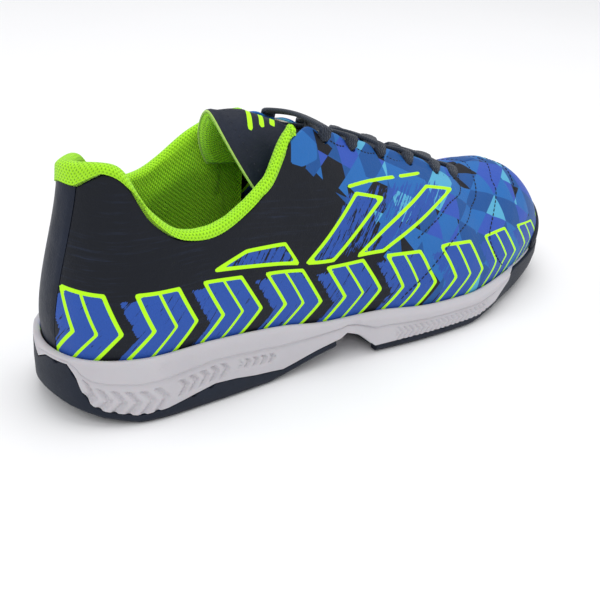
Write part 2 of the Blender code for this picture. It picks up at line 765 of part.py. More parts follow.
def make_lace(cord, tip):
    outer = lace_stops(-1)
    inner = lace_stops(1)
    edges = [layer(k, 0.98, -LACE_ABOVE) for k in (EYELETS[0], COLUMNS - EYELETS[0])]
    middle = (edges[0] + edges[1]) / 2 + np.array([0, 0, LACE_TOP_BOW])
    route = smooth_route(outer[::-1] + [edges[0], middle, edges[1]] + inner, 2)
    tube("lace", route, LACE_RADIUS, cord)
    for name, stops in (("aglet_lateral", outer), ("aglet_medial", inner)):
        along = stops[-1] - stops[-2]
        along = along / np.linalg.norm(along)
        start = stops[-1] + along * GAP
        tube(name, np.array([start, start + along * AGLET_LENGTH]), AGLET_RADIUS, tip)


# ---------------------------------------------------------------- the shoe


def clear_scene():
    for old in list(bpy.data.objects):
        bpy.data.objects.remove(old)


def punch_through(target, cutter):
    cut = target.modifiers.new("eyelets", "BOOLEAN")
    cut.operation = "DIFFERENCE"
    cut.solver = "EXACT"
    cut.object = cutter


def main():
    clear_scene()
    grey_foam = make_material("midsole_foam", (0.58, 0.56, 0.58), 0.6)
    rubber = make_material("dark_rubber", (0.02, 0.028, 0.045), 0.55)
    fabric = make_material("printed_leather", (0.03, 0.06, 0.16), 0.45)
    plain = make_material("plain_leather", (0.02, 0.024, 0.035), 0.45)
    lime = make_material("lime_mesh", (0.45, 0.85, 0.02), 0.8)
    white_board = make_material("fibre_board", (0.6, 0.55, 0.45), 0.9)
    steel = make_material("shank_steel", (0.5, 0.5, 0.52), 0.35, 1.0)
    soft = make_material("soft_foam", (0.5, 0.5, 0.5), 0.9)
    stiff = make_material("thermoplastic", (0.7, 0.68, 0.6), 0.6)
    cloth = make_material("lining_cloth", (0.05, 0.055, 0.07), 0.9)
    cord = make_material("lace_cord", (0.025, 0.03, 0.042), 0.8)
    tip = make_material("lace_tip", (0.03, 0.03, 0.035), 0.25)
    make_midsole(grey_foam)
    make_outsoles(rubber)
    make_toe_bumper(rubber)
    plate("lasting_board", UPPER + 1.2, BOARD_LOW, BOARD, white_board)
    make_shank(steel)
    plate("sockliner_foam", INSOLE_IN, INSOLE_LOW, INSOLE_FOAM, soft, INSOLE_PIVOT)
    cover_low = INSOLE_LOW + INSOLE_FOAM + GAP
    plate("sockliner_cover", INSOLE_IN, cover_low, INSOLE_COVER, cloth, INSOLE_PIVOT)
    upper = make_upper(fabric, plain)
    backers = make_stiffeners(stiff, stiff, cloth)
    punch = make_eyelet_punch()
    for sheet in (upper, *backers):
        punch_through(sheet, punch)
    make_vamp_lining(cloth)
    make_collar_lining(lime)
    make_collar_foam(soft)
    make_tongue(plain, soft, lime)
    make_lace(cord, tip)


main()
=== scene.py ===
"""Looks of a court shoe for the right foot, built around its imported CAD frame.

The shoe is drawn as in the CAD: millimetres on its last, X from the heel to the toe, Y towards the
inner (medial) side, Z up. place() turns that into the frame's metres. Columns are meridians counted
round the shoe from the back of the heel (0) over the outer side to the toe (14) and back along the
inner side (28 is 0 again). Levels run from 0 at the feather edge to 1 at the top line.
"""

import math

import bmesh
import bpy
import numpy as np
from mathutils import Matrix, Vector


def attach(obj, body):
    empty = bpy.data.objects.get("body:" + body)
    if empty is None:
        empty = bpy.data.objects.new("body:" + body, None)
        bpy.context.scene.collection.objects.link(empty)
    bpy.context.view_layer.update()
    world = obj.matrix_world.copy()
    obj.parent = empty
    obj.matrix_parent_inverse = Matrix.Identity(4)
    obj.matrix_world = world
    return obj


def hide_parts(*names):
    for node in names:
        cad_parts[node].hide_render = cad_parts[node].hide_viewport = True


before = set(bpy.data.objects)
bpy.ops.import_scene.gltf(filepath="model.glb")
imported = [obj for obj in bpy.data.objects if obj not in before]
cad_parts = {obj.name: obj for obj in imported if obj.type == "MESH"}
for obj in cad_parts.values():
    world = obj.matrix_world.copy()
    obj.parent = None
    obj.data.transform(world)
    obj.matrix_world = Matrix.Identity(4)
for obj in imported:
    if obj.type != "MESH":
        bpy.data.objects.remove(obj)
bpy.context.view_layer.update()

MM = 0.001
ORIGIN = np.array([140.75, 0.65, 0.0])

# Lasted surface. Each row: feather edge x, half width, z; top line x, half width, z; then how far
# the meridian bulges out and rises from the feather edge, and goes out and drops from the top line.
OUTER_SIDE = [
    [3, 0, 27.5, 13, 0, 98, 3, 22, 0, 22],
    [8, 21, 28, 24, 18.5, 100, 3, 22, 0, 20],
    [28, 33, 28, 38, 26, 82, 3, 18, 1, 16],
    [58, 35, 28, 60, 30, 73, 3, 13, 2, 12],
    [90, 35, 25, 86, 28, 85, 4, 18, 3, 16],
    [114, 36, 21, 107, 20, 104, 5, 25, 8, 16],
    [143, 39, 20, 139, 14, 93, 6, 24, 14, 10],
    [168, 42, 17, 172, 12, 80, 5, 20, 18, 5],
    [192, 43, 16, 203, 10, 67, 4, 17, 22, 2],
    [204, 42, 16, 217, 0, 62, 4, 16, 28, 0],
    [219, 39, 17, 225, 0, 62, 4, 15, 26, 0],
    [242, 32, 18, 233, 0, 62, 4, 15, 24, 0],
    [264, 21, 19, 240, 0, 61.5, 4, 14, 22, 0],
    [275, 8, 20, 244, 0, 60.5, 4, 13, 20, 0],
]
INNER_SIDE = [
    [3, 0, 27.5, 13, 0, 98, 3, 22, 0, 22],
    [12, 20.5, 28, 24, 18.5, 94, 3, 22, 0, 20],
    [29, 31.5, 28, 38, 26, 84, 3, 18, 1, 16],
    [60, 32, 28, 60, 30, 78, 3, 13, 2, 12],
    [92, 29, 26, 86, 28, 93.5, 5, 18, 3, 16],
    [115, 29, 24, 107, 20, 101, 7, 25, 8, 16],
    [143, 33, 22, 139, 14, 91, 7, 24, 14, 10],
    [169, 40, 20, 172, 12, 79, 5, 20, 18, 5],
    [192, 44, 18, 203, 10, 67, 4, 17, 22, 2],
    [205, 44, 18, 217, 0, 62, 4, 16, 28, 0],
    [223, 43, 18, 225, 0, 62, 4, 15, 26, 0],
    [244, 38, 19, 233, 0, 62, 4, 15, 24, 0],
    [262, 29, 20, 240, 0, 61.5, 4, 14, 22, 0],
    [274, 18, 21, 244, 0, 60.5, 4, 13, 20, 0],
]
TOE_TIP = [278.5, 6, 21, 246, 0, 59.5, 4, 13, 20, 0]
# Rises and dips of the top line between the rows: columns from the heel, half width and height.
TOP_SWELLS = [(0, 0.35, 1.5), (1.45, 0.4, 2.8), (2.4, 0.35, -1.5)]
COLUMNS = 28
THROAT_END = 9
TOE = 14

# Layers, measured inwards from the lasted surface.
GAP = 0.35
UPPER = 1.6
STIFFENER = 1.1
LINING = 0.6
TURN_IN = 12.0
TURN_DROP = 6.6

# Collar.
COLLAR_END = 4.95
EDGE_BELOW_TOP = [(0, 8.0), (0.4, 9.2), (0.6, 6.8), (0.85, 3.6)]
ROLL_RADIUS = 2.6
ROLL_BELOW_TOP = 2.6
COLLAR_SKIN = 0.9
BACKSTAY_HALF = 0.4

# Sole.
BASIN_DEPTH = TURN_DROP + 2 * GAP
RIM_OUT = 2.6
SIDE_OUT = 3.4
TREAD_FLOOR = 3.0
TREAD_WALL = 1.7
REAR_TREAD_END = 5.2
FRONT_TREAD_START = 5.95
RIM_BAND = 1.5
WALL_TUCK = 0.6
TOE_TUCK = [(8.5, 0), (10.3, 3.5), (12, 3), (14, 1.5)]
GROUND_REAR = [(-5, 14), (0, 10), (6, 6.5), (14, 3), (26, 0), (86, 0), (98, 2.5), (110, 5.5), (122, 8)]
GROUND_FRONT = [(140, 0.5), (148, 0), (200, 0), (214, 1), (228, 3), (244, 5.4), (262, 7.8), (280, 11.5)]
ARCH = [(125, 13.5), (132, 11)]
REAR_WALL_TOP = [
    (0, 21), (0.3, 25), (0.8, 25.5), (0.95, 21), (1.03, 15), (1.2, 9), (1.5, 5), (1.9, 3.6),
    (2.3, 4.5), (2.7, 7.2), (3, 9), (3.3, 8.2), (3.6, 6.4), (4.3, 4),
]
FRONT_WALL_TOP = [(8.9, 4), (9.7, 7), (10.1, 12), (10.4, 15.5), (11.1, 16.8), (12.4, 17.8), (14, 19.5)]
BUMPER = 1.6
BUMPER_TOP = 0.38
BUMPER_FALL = 0.05
BUMPER_HALF = [0.5, 1, 1.5, 2, 2.4]

# Laces.
EYELETS = [5.45, 5.95, 6.5, 7.05, 7.6, 8.2]
EYELET_IN = 7.5
EYELET_RADIUS = 2.6
EYELET_NEAR = 8.0

# Tongue. Each row: x, centre z, half width, drop of its edges and half angle of its arch.
TONGUE = [
    [80, 109, 19.5, 29, 72],
    [96, 106, 19, 28, 68],
    [110, 100, 17.6, 19, 62],
    [125, 92.8, 17.8, 12, 55],
    [140, 85.5, 17.5, 8, 45],
    [155, 79.3, 16.5, 5.5, 38],
    [170, 73.2, 15.5, 4, 30],
    [185, 66.8, 13.5, 3, 25],
    [199, 61.0, 10.5, 2, 20],
    [211, 55.5, 9, 1, 15],
]
TONGUE_SKIN = 0.9
TONGUE_FOAM = 3.0
TONGUE_PEAK_END = 0.3
TONGUE_PEAK_SHIFT = 4.0
TONGUE_LEAN = 9.0
# The seam's distance from the tongue's edge, and three bars: distance from the top and half width.
SEAM_INSET = 4.2
TONGUE_BARS = [(13, 9), (19.5, 7), (26, 5)]


# ---------------------------------------------------------------- lasted surface


def closed_table():
    """The rows of both sides as one closed loop round the shoe, with y signed."""
    outer = np.array(OUTER_SIDE, float)
    inner = np.array(INNER_SIDE, float)
    outer[:, [1, 4]] *= -1
    return np.vstack([outer, [TOE_TIP], inner[:0:-1]])


TABLE = closed_table()


def rows_at(column):
    """The table's rows, joined smoothly, at any column number."""
    column = np.asarray(column, float) % COLUMNS
    low = np.floor(column).astype(int)
    t = (column - low)[..., None]
    before, a, b, after = (TABLE[(low + step) % COLUMNS] for step in (-1, 0, 1, 2))
    row = (2 * t**3 - 3 * t**2 + 1) * a + (t**3 - 2 * t**2 + t) * (b - before) / 2
    row = row + (3 * t**2 - 2 * t**3) * b + (t**3 - t**2) * (after - a) / 2
    side = np.minimum(column, COLUMNS - column)
    for centre, half, rise in TOP_SWELLS:
        row[..., 5] += rise * np.exp(-(((side - centre) / half) ** 2))
    outer_side = column < TOE
    row[..., 4] = np.where(outer_side, np.minimum(row[..., 4], 0), np.maximum(row[..., 4], 0))
    row[..., 4] = np.where(np.abs(column - TOE) <= TOE - THROAT_END, 0, row[..., 4])
    return row


def feather(column):
    """Points of the feather edge and its outward directions in plan."""
    point = rows_at(column)[..., 0:3]
    along = rows_at(np.asarray(column) + 0.05)[..., 0:3] - rows_at(np.asarray(column) - 0.05)[..., 0:3]
    return point, unit(np.stack([along[..., 1], -along[..., 0], 0 * along[..., 0]], -1))


def ridge_slope(column, top):
    """How the vamp's ridge falls towards the toe, so that both halves meet without a crease."""
    ridge = np.abs(np.asarray(column, float) % COLUMNS - TOE) <= TOE - THROAT_END
    return np.where(ridge, np.interp(top[..., 0], [225, 240, 247], [0.0, -0.1, -0.25]), 0.0)


def surface(column, level):
    """The lasted surface at levels 0 to 1: a cubic curve up each meridian."""
    row = rows_at(column)
    foot, out = feather(column)
    top = row[..., 3:6]
    bulge, rise, reach, drop = (row[..., i : i + 1] for i in range(6, 10))
    up = np.array([0.0, 0.0, 1.0])
    aim = (foot - top) * [1, 1, 0]
    aim = aim / (np.linalg.norm(aim, axis=-1, keepdims=True) + 1e-9)
    fall = (ridge_slope(column, top) * aim[..., 0])[..., None]
    second = foot + out * bulge + up * rise
    third = top + (aim + up * fall) * reach - up * drop
    t = np.asarray(level, float)[..., None]
    s = 1 - t
    return s**3 * foot + 3 * s**2 * t * second + 3 * s * t**2 * third + t**3 * top


def surface_normal(column, level):
    """Outward unit normals of the lasted surface."""
    column = np.asarray(column, float)
    level = np.clip(level, 0.01, 0.98)
    along = surface(column + 0.05, level) - surface(column - 0.05, level)
    rising = surface(column, level + 0.01) - surface(column, level - 0.01)
    normal = np.cross(along, rising)
    return normal / (np.linalg.norm(normal, axis=-1, keepdims=True) + 1e-12)


def normal_at(column, level):
    """Normals, made equal for the two halves where they meet on the vamp's ridge."""
    column, level = np.broadcast_arrays(np.asarray(column, float), np.asarray(level, float))
    normal = surface_normal(column, level)
    mirrored = surface_normal(COLUMNS - column, level)
    on_ridge = (level > 0.999) & (np.abs(column % COLUMNS - TOE) <= TOE - THROAT_END)
    return unit(np.where(on_ridge[..., None], normal + mirrored, normal))


def layer(column, level, depth):
    """Points of a layer that lies depth inside the lasted surface."""
    depth = np.asarray(depth, float)[..., None]
    return surface(column, level) - normal_at(column, level) * depth


def floor_height(points):
    """Height of the foot bed at points: it follows both feather edges and tilts between them."""
    tip = TABLE[TOE : TOE + 1]
    edges = [np.vstack([TABLE[:TOE], tip]), np.vstack([TABLE[:1], TABLE[:TOE:-1], tip])]
    low, high = (np.interp(points[..., 0], edge[:, 0], edge[:, 2]) for edge in edges)
    weight = np.clip(0.5 + points[..., 1] / 60, 0, 1)
    return low + weight * (high - low)


def unit(vectors):
    return vectors / np.linalg.norm(vectors, axis=-1, keepdims=True)


def running_length(points):
    """Distance along each row of points, from its start."""
    steps = np.linalg.norm(np.diff(points, axis=-2), axis=-1)
    return np.concatenate([0 * steps[..., :1], np.cumsum(steps, -1)], -1)


FINE_COLUMNS = np.linspace(0, COLUMNS, 1401)
ALONG_FEATHER = running_length(surface(FINE_COLUMNS, 0 * FINE_COLUMNS))
MERIDIANS = surface(FINE_COLUMNS[:, None] + np.zeros(41), np.zeros((1401, 1)) + np.linspace(0, 1, 41))
MERIDIAN_LENGTHS = running_length(MERIDIANS)[:, -1]
PERIMETER = ALONG_FEATHER[-1]


def along_at(column):
    """Distance along the feather edge from the back of the heel, in mm."""
    return np.interp(np.asarray(column, float) % COLUMNS, FINE_COLUMNS, ALONG_FEATHER)


def column_at(along):
    return np.interp(along, ALONG_FEATHER, FINE_COLUMNS)


def column_grid(columns, levels):
    """The columns repeated along a second axis, to go with a grid of levels."""
    return columns[:, None] + 0 * levels


def meridian_length(column):
    return np.interp(np.asarray(column, float) % COLUMNS, FINE_COLUMNS, MERIDIAN_LENGTHS)


def level_below_top(column, distance):
    return 1 - distance / meridian_length(column)


def side_of(column):
    """The column's number counted from the heel on its own side."""
    column = np.asarray(column, float) % COLUMNS
    return np.minimum(column, COLUMNS - column)


def smoothstep(x, low, high):
    t = np.clip((x - low) / (high - low), 0, 1)
    return t * t * (3 - 2 * t)


def profile(pairs, at):
    return np.interp(at, [p[0] for p in pairs], [p[1] for p in pairs])


# ---------------------------------------------------------------- mesh building


def place(points):
    return (np.asarray(points, float) - ORIGIN) * MM


def finish_mesh(mesh, angle=40):
    """Joins points that coincide, turns the faces outwards and shades the mesh smooth."""
    build = bmesh.new()
    build.from_mesh(mesh)
    bmesh.ops.remove_doubles(build, verts=build.verts, dist=0.01 * MM)
    bmesh.ops.recalc_face_normals(build, faces=build.faces)
    if build.calc_volume(signed=True) < 0:
        bmesh.ops.reverse_faces(build, faces=build.faces)
    build.to_mesh(mesh)
    build.free()
    mesh.shade_smooth()
    mesh.set_sharp_from_angle(angle=math.radians(angle))


def new_piece(name, points, faces, material, slot, body="root", fields=None, angle=40):
    """One mesh piece from points in millimetres. fields are values kept at its points."""
    mesh = bpy.data.meshes.new(name)
    mesh.from_pydata(place(points).tolist(), [], [[int(i) for i in f] for f in faces])
    for field, values in (fields or {}).items():
        vector = np.ndim(values) == 2
        kept = mesh.attributes.new(field, "FLOAT_VECTOR" if vector else "FLOAT", "POINT")
        kept.data.foreach_set("vector" if vector else "value", np.asarray(values, np.float32).ravel())
    finish_mesh(mesh, angle)
    mesh.materials.append(material)
    made = bpy.data.objects.new(name, mesh)
    bpy.context.scene.collection.objects.link(made)
    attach(made, body)
    return made


def grid_quads(columns, rows):
    """Corner numbers of the quads of a grid of points [column][row]."""
    ids = np.arange(columns * rows).reshape(columns, rows)
    return np.stack([ids[:-1, :-1], ids[1:, :-1], ids[1:, 1:], ids[:-1, 1:]], -1)


def shell_faces(quads, count):
    """Faces of a closed sheet: the quads, the same on its back, and walls round every edge."""
    quads = quads.reshape(-1, 4)
    edges = np.concatenate([quads[:, [i, (i + 1) % 4]] for i in range(4)])
    forward = edges[:, 0] * count + edges[:, 1]
    backward = edges[:, 1] * count + edges[:, 0]
    rim = edges[~np.isin(forward, backward)]
    walls = np.stack([rim[:, 1], rim[:, 0], rim[:, 0] + count, rim[:, 1] + count], -1)
    return np.vstack([quads, quads[:, ::-1] + count, walls])


def shell(name, outer, inner, material, slot, **more):
    """A closed sheet between two grids of points [column][row]."""
    quads = grid_quads(*outer.shape[:2])
    faces = shell_faces(quads, outer.shape[0] * outer.shape[1])
    points = np.vstack([outer.reshape(-1, 3), inner.reshape(-1, 3)])
    return new_piece(name, points, faces, material, slot, **more)


def loft(name, sections, material, slot, **more):
    """A solid through closed sections of equal length, capped at both ends."""
    count, n = len(sections), len(sections[0])
    faces = []
    for s in range(count - 1):
        for i in range(n):
            a, b, c = s * n, (s + 1) * n, (i + 1) % n
            faces.append((a + i, b + i, b + c, a + c))
    faces.append(list(range(n)))
    faces.append([(count - 1) * n + i for i in range(n)][::-1])
    return new_piece(name, np.vstack(sections), faces, material, slot, **more)


def tube_faces(count, sides):
    """Faces of a tube through count rings of points, with closed ends."""
    faces = []
    for r in range(count - 1):
        for i in range(sides):
            a, b, j = r * sides, (r + 1) * sides, (i + 1) % sides
            faces.append((a + i, a + j, b + j, b + i))
    return faces + [tuple(range(sides))[::-1], tuple((count - 1) * sides + i for i in range(sides))]


def join_parts(parts):
    """Points and faces of several small meshes as one."""
    points, faces, start = [], [], 0
    for part_points, part_faces in parts:
        points.append(part_points)
        faces += [[i + start for i in f] for f in part_faces]
        start += len(part_points)
    return np.vstack(points), faces


def frames_along(route):
    """Unit directions along a route of points."""
    step = np.gradient(route, axis=0)
    return step / (np.linalg.norm(step, axis=1, keepdims=True) + 1e-12)


def smooth_route(stops, steps):
    """Points along a Catmull-Rom curve through the stops, steps of them from stop to stop."""
    stops = np.array(stops, float)
    padded = np.vstack([2 * stops[0] - stops[1], stops, 2 * stops[-1] - stops[-2]])
    route = []
    for p0, p1, p2, p3 in zip(padded, padded[1:], padded[2:], padded[3:]):
        for t in np.arange(steps) / steps:
            curve = 2 * p1 + (p2 - p0) * t + (2 * p0 - 5 * p1 + 4 * p2 - p3) * t**2
            route.append((curve + (3 * p1 - p0 - 3 * p2 + p3) * t**3) / 2)
    return np.array(route + [stops[-1]])


def sampled(line, run, at):
    """The line's rows at the distances at, where run says how far along each row lies."""
    return np.stack([np.interp(at, run, column) for column in line.T], 1)


def even_route(line, spacing):
    """The same line at even distances. A row is a point and whatever goes with it."""
    run = running_length(line[:, :3])
    at = np.linspace(0, run[-1], max(2, int(round(run[-1] / spacing)) + 1))
    return sampled(line, run, at)


# One stitch: places along it, its middle's height and its radius there, both in radii.
STITCH_ALONG = np.array([0, 0.12, 0.35, 0.65, 0.88, 1])
STITCH_LIFT = np.array([-0.9, 0.15, 0.55, 0.55, 0.15, -0.9])
STITCH_SIZE = np.array([0.55, 0.9, 1, 1, 0.9, 0.55])
STITCH_SIDES = 6


def stitch_parts(route, normals, length, space, radius):
    """Stitches along a route on a surface: small rounded threads that dip in at both ends."""
    run = running_length(route)
    around = np.arange(STITCH_SIDES) * math.tau / STITCH_SIDES
    faces = tube_faces(len(STITCH_ALONG), STITCH_SIDES)
    parts = []
    for start in np.arange(space / 2, run[-1] - length, length + space):
        at = start + length * STITCH_ALONG
        up = unit(sampled(normals, run, at))
        line = sampled(route, run, at) + up * (radius * STITCH_LIFT)[:, None]
        across = unit(np.cross(frames_along(line), up))
        points = [
            centre + size * (math.cos(a) * u + math.sin(a) * w)
            for centre, size, u, w in zip(line, radius * STITCH_SIZE, up, across)
            for a in around
        ]
        parts.append((np.array(points), faces))
    return parts


# ---------------------------------------------------------------- materials


def srgb(r, g, b):
    """A colour given as 0 to 255 screen values, as the shader's linear colour."""
    values = [c / 255 for c in (r, g, b)]
    return tuple(c / 12.92 if c <= 0.04045 else ((c + 0.055) / 1.055) ** 2.4 for c in values) + (1.0,)


class Nodes:
    """Short calls for wiring one material's nodes."""

    def __init__(self, name, **sockets):
        self.material = bpy.data.materials.new(name)
        self.material.use_nodes = True
        self.tree = self.material.node_tree
        self.shader = self.tree.nodes["Principled BSDF"]
        for socket, value in sockets.items():
            self.shader.inputs[socket.replace("_", " ")].default_value = value

    def add(self, kind, inputs=(), output=0, **settings):
        """A new node. inputs maps socket names or numbers to values or to other nodes' outputs."""
        node = self.tree.nodes.new("ShaderNode" + kind)
        for key, value in settings.items():
            setattr(node, key, value)
        for socket, value in dict(inputs).items():
            self.give(node.inputs[socket], value)
        return node.outputs[output]

    def give(self, socket, value):
        if isinstance(value, bpy.types.NodeSocket):
            self.tree.links.new(value, socket)
        else:
            socket.default_value = value

    def math(self, operation, a, b=0.0, c=0.0):
        return self.add("Math", {0: a, 1: b, 2: c}, operation=operation)

    def step(self, value, low, high):
        """0 below low, 1 above high, smooth between."""
        return self.add("MapRange", {0: value, 1: low, 2: high}, interpolation_type="SMOOTHSTEP")

    def band(self, distance, half):
        """1 where the distance is within half of nought, with a thin soft edge."""
        return self.step(self.math("ABSOLUTE", distance), half + 0.12, half - 0.12)

    def mix(self, factor, a, b):
        """Colour a where the factor is 0, colour b where it is 1."""
        return self.add("Mix", {0: factor, 6: a, 7: b}, output=2, data_type="RGBA")

    def between(self, factor, a, b):
        return self.add("Mix", {0: factor, 2: a, 3: b}, data_type="FLOAT")

    def noise(self, vector, scale, detail=2.0, roughness=0.5):
        inputs = {"Vector": vector, "Scale": scale, "Detail": detail, "Roughness": roughness}
        return self.add("TexNoise", inputs)

    def cells(self, vector, scale, feature="F1"):
        return self.add("TexVoronoi", {"Vector": vector, "Scale": scale}, feature=feature)

    def place(self):
        """The point's place on the object, in millimetres."""
        here = self.add("TexCoord", output=3)
        return self.add("VectorMath", {0: here, "Scale": 1 / MM}, operation="SCALE")

    def field(self, name, output=2):
        return self.add("Attribute", output=output, attribute_name=name)

    def dot(self, vector, direction):
        return self.add("VectorMath", {0: vector, 1: direction}, output=1, operation="DOT_PRODUCT")

    def ramp(self, value, stops, interpolation="LINEAR"):
        node = self.tree.nodes.new("ShaderNodeValToRGB")
        node.color_ramp.interpolation = interpolation
        while len(node.color_ramp.elements) < len(stops):
            node.color_ramp.elements.new(0.5)
        for element, (at, color) in zip(node.color_ramp.elements, stops):
            element.position = at
            element.color = color
        self.give(node.inputs[0], value)
        return node.outputs[0]

    def bump(self, *layers):
        """Bumps in order; each is a height and its distance in millimetres."""
        normal = None
        for height, distance in layers:
            inputs = {"Height": height, "Distance": distance * MM, "Strength": 1.0}
            if normal is not None:
                inputs["Normal"] = normal
            normal = self.add("Bump", inputs)
        self.give(self.shader.inputs["Normal"], normal)

    def finish(self, color, roughness=None):
        self.give(self.shader.inputs["Base Color"], color)
        if roughness is not None:
            self.give(self.shader.inputs["Roughness"], roughness)
        return self.material


NAVY = srgb(16, 20, 29)
NAVY_LIGHT = srgb(38, 48, 70)
LIME = srgb(186, 253, 22)
BLUE = srgb(36, 104, 176)
DEEP_BLUE = srgb(26, 80, 146)
ROYAL = srgb(50, 84, 178)
CYAN = srgb(84, 168, 204)
BLACK = srgb(19, 20, 27)
STREAK = srgb(42, 82, 166)
# The mosaic: each tone has a share of the tiles, and each family of parallel cuts a direction and a
# spacing in mm. The brushed streaks slant by BRUSH_SLANT degrees.
MOSAIC_TONES = [(0.0, BLUE), (0.34, DEEP_BLUE), (0.56, ROYAL), (0.72, BLUE), (0.86, CYAN), (0.95, DEEP_BLUE)]
BRUSH_SLANT = 52
MOSAIC_CUTS = [
    ((0.976, 0.206, -0.091), 12.5),
    ((0.396, 0.77, 0.497), 11.5),
    ((-0.58, 0.563, 0.588), 12.0),
    ((0.72, 0.3, -0.62), 41.0),
]


def leather_grain(n, where):
    """Fine pebbled grain with soft creases: heights for bumps."""
    pebble = n.cells(where, 1.6, feature="SMOOTH_F1")
    fine = n.noise(where, 3.2, 3, 0.6)
    crease = n.noise(where, 0.12, 4, 0.6)
    return [(crease, 0.5), (pebble, 0.07), (fine, 0.05)]


def printed_leather():
    """Synthetic leather with the print: navy, a mosaic of blues, brushed streaks and lime lines."""
    n = Nodes("printed_leather", Specular_IOR_Level=0.22)
    where = n.place()
    flat = n.field("flat", output=1)
    # Navy ground with brushed lighter wisps.
    wisps = n.noise(n.add("VectorMath", {0: flat, 1: (0.03, 0.5, 0)}, operation="MULTIPLY"), 1, 5, 0.7)
    mottle = n.noise(where, 0.05, 3)
    light = n.math("MULTIPLY", n.step(wisps, 0.5, 0.7), n.step(mottle, 0.35, 0.7))
    ground = n.mix(n.math("MULTIPLY", light, 0.6), NAVY, NAVY_LIGHT)
    # Mosaic: families of parallel cuts make triangles, each with its own shade.
    floors = []
    for number, (direction, spacing) in enumerate(MOSAIC_CUTS):
        spread = n.dot(where, tuple(d / spacing for d in direction))
        floors.append(n.math("FLOOR", n.math("ADD", spread, 0.37 * number)))
    cell = n.add("CombineXYZ", {0: floors[0], 1: floors[1], 2: floors[2]})
    shade = n.add("TexWhiteNoise", {"Vector": cell, "W": floors[3]}, noise_dimensions="4D")
    tile = n.ramp(shade, MOSAIC_TONES, "CONSTANT")
    second = n.math("ADD", floors[3], 7.5)
    other = n.add("TexWhiteNoise", {"Vector": cell, "W": second}, noise_dimensions="4D")
    coverage = n.field("mosaic")
    shown = n.math("LESS_THAN", other, n.math("MULTIPLY", coverage, 0.88))
    color = n.mix(shown, n.mix(n.step(coverage, 0.5, 0.9), ground, BLACK), tile)
    color = n.mix(n.step(n.field("patch"), -0.12, 0.12), color, BLUE)
    # Brushed streaks slant up and forward.
    slant = math.radians(BRUSH_SLANT)
    forward, upward = math.cos(slant), math.sin(slant)
    run = n.dot(flat, (forward * 0.035, upward * 0.035, 0))
    across = n.dot(flat, (-upward * 0.75, forward * 0.75, 0))
    brush = n.noise(n.add("CombineXYZ", {0: run, 1: across, 2: 0.0}), 1, 3, 0.7)
    drybrush = n.noise(n.add("CombineXYZ", {0: n.math("MULTIPLY", run, 9.0), 1: across, 2: 3.0}), 1, 2, 0.6)
    stroke = n.math("ADD", n.math("MULTIPLY", brush, 0.75), n.math("MULTIPLY", drybrush, 0.25))
    streak = n.step(n.math("SUBTRACT", n.field("streak"), stroke), -0.015, 0.015)
    color = n.mix(streak, color, STREAK)
    # Lime outlines and lines.
    block = n.field("block")
    outline = n.band(block, LINE_HALF)
    middle = n.math("MULTIPLY", n.band(n.field("middle"), 0.6), n.step(block, 0.0, 0.3))
    accent = n.math("MULTIPLY", n.band(n.field("line"), LINE_HALF), n.step(block, -0.1, -2.0))
    shard = n.band(n.field("shard"), LINE_HALF)
    ink = n.math("MAXIMUM", n.math("MAXIMUM", outline, shard), n.math("MAXIMUM", middle, accent))
    color = n.mix(ink, color, LIME)
    wear = n.noise(where, 0.25, 4, 0.6)
    rough = n.between(ink, n.between(wear, 0.4, 0.6), 0.5)
    n.bump(*leather_grain(n, where), (ink, 0.05))
    return n.finish(color, rough)


def plain_leather(name="plain_leather", lime=False):
    """Navy synthetic leather without print; with lime=True it takes a lime mark from its field."""
    n = Nodes(name, Specular_IOR_Level=0.22)
    where = n.place()
    cloud = n.noise(where, 0.06, 4, 0.6)
    color = n.mix(n.math("MULTIPLY", cloud, 0.6), NAVY, NAVY_LIGHT)
    layers = leather_grain(n, where)
    if lime:
        ink = n.step(n.field("lime"), -0.14, 0.14)
        color = n.mix(ink, color, LIME)
    n.bump(*layers)
    return n.finish(color, n.between(n.noise(where, 0.3, 3), 0.38, 0.56))


def lime_mesh():
    """Spacer mesh: bright lime knit with staggered small dark holes, from its own coordinates."""
    n = Nodes("lime_mesh", Specular_IOR_Level=0.15, Sheen_Weight=0.15, Sheen_Roughness=0.5)
    where = n.place()
    flat = n.field("flat", output=1)
    wobble = n.noise(where, 0.35, 2)
    across = n.math("COSINE", n.math("ADD", n.dot(flat, (math.tau / 1.5, 0, 0)), wobble))
    down = n.math("COSINE", n.math("ADD", n.dot(flat, (0, math.tau / 2.2, 0)), wobble))
    lattice = n.math("MULTIPLY", across, down)
    hole = n.step(lattice, 0.25, 0.8)
    thread = n.noise(where, 2.2, 3, 0.6)
    soft = n.noise(where, 0.04, 3)
    lime = n.mix(soft, srgb(146, 226, 6), srgb(178, 246, 22))
    lime = n.mix(n.math("MULTIPLY", thread, 0.3), lime, srgb(205, 255, 90))
    color = n.mix(n.math("MULTIPLY", hole, 0.62), lime, srgb(62, 124, 2))
    n.bump((n.math("MULTIPLY", lattice, -1.0), 0.22), (thread, 0.12))
    return n.finish(color, n.between(thread, 0.75, 0.95))


def mottled(name, dark, light, noise, roughness, bump, **sockets):
    """Two colours mixed by one noise, which also raises the surface and varies its roughness."""
    n = Nodes(name, **sockets)
    mottle = n.noise(n.place(), *noise)
    n.bump((mottle, bump))
    return n.finish(n.mix(mottle, dark, light), n.between(mottle, *roughness))


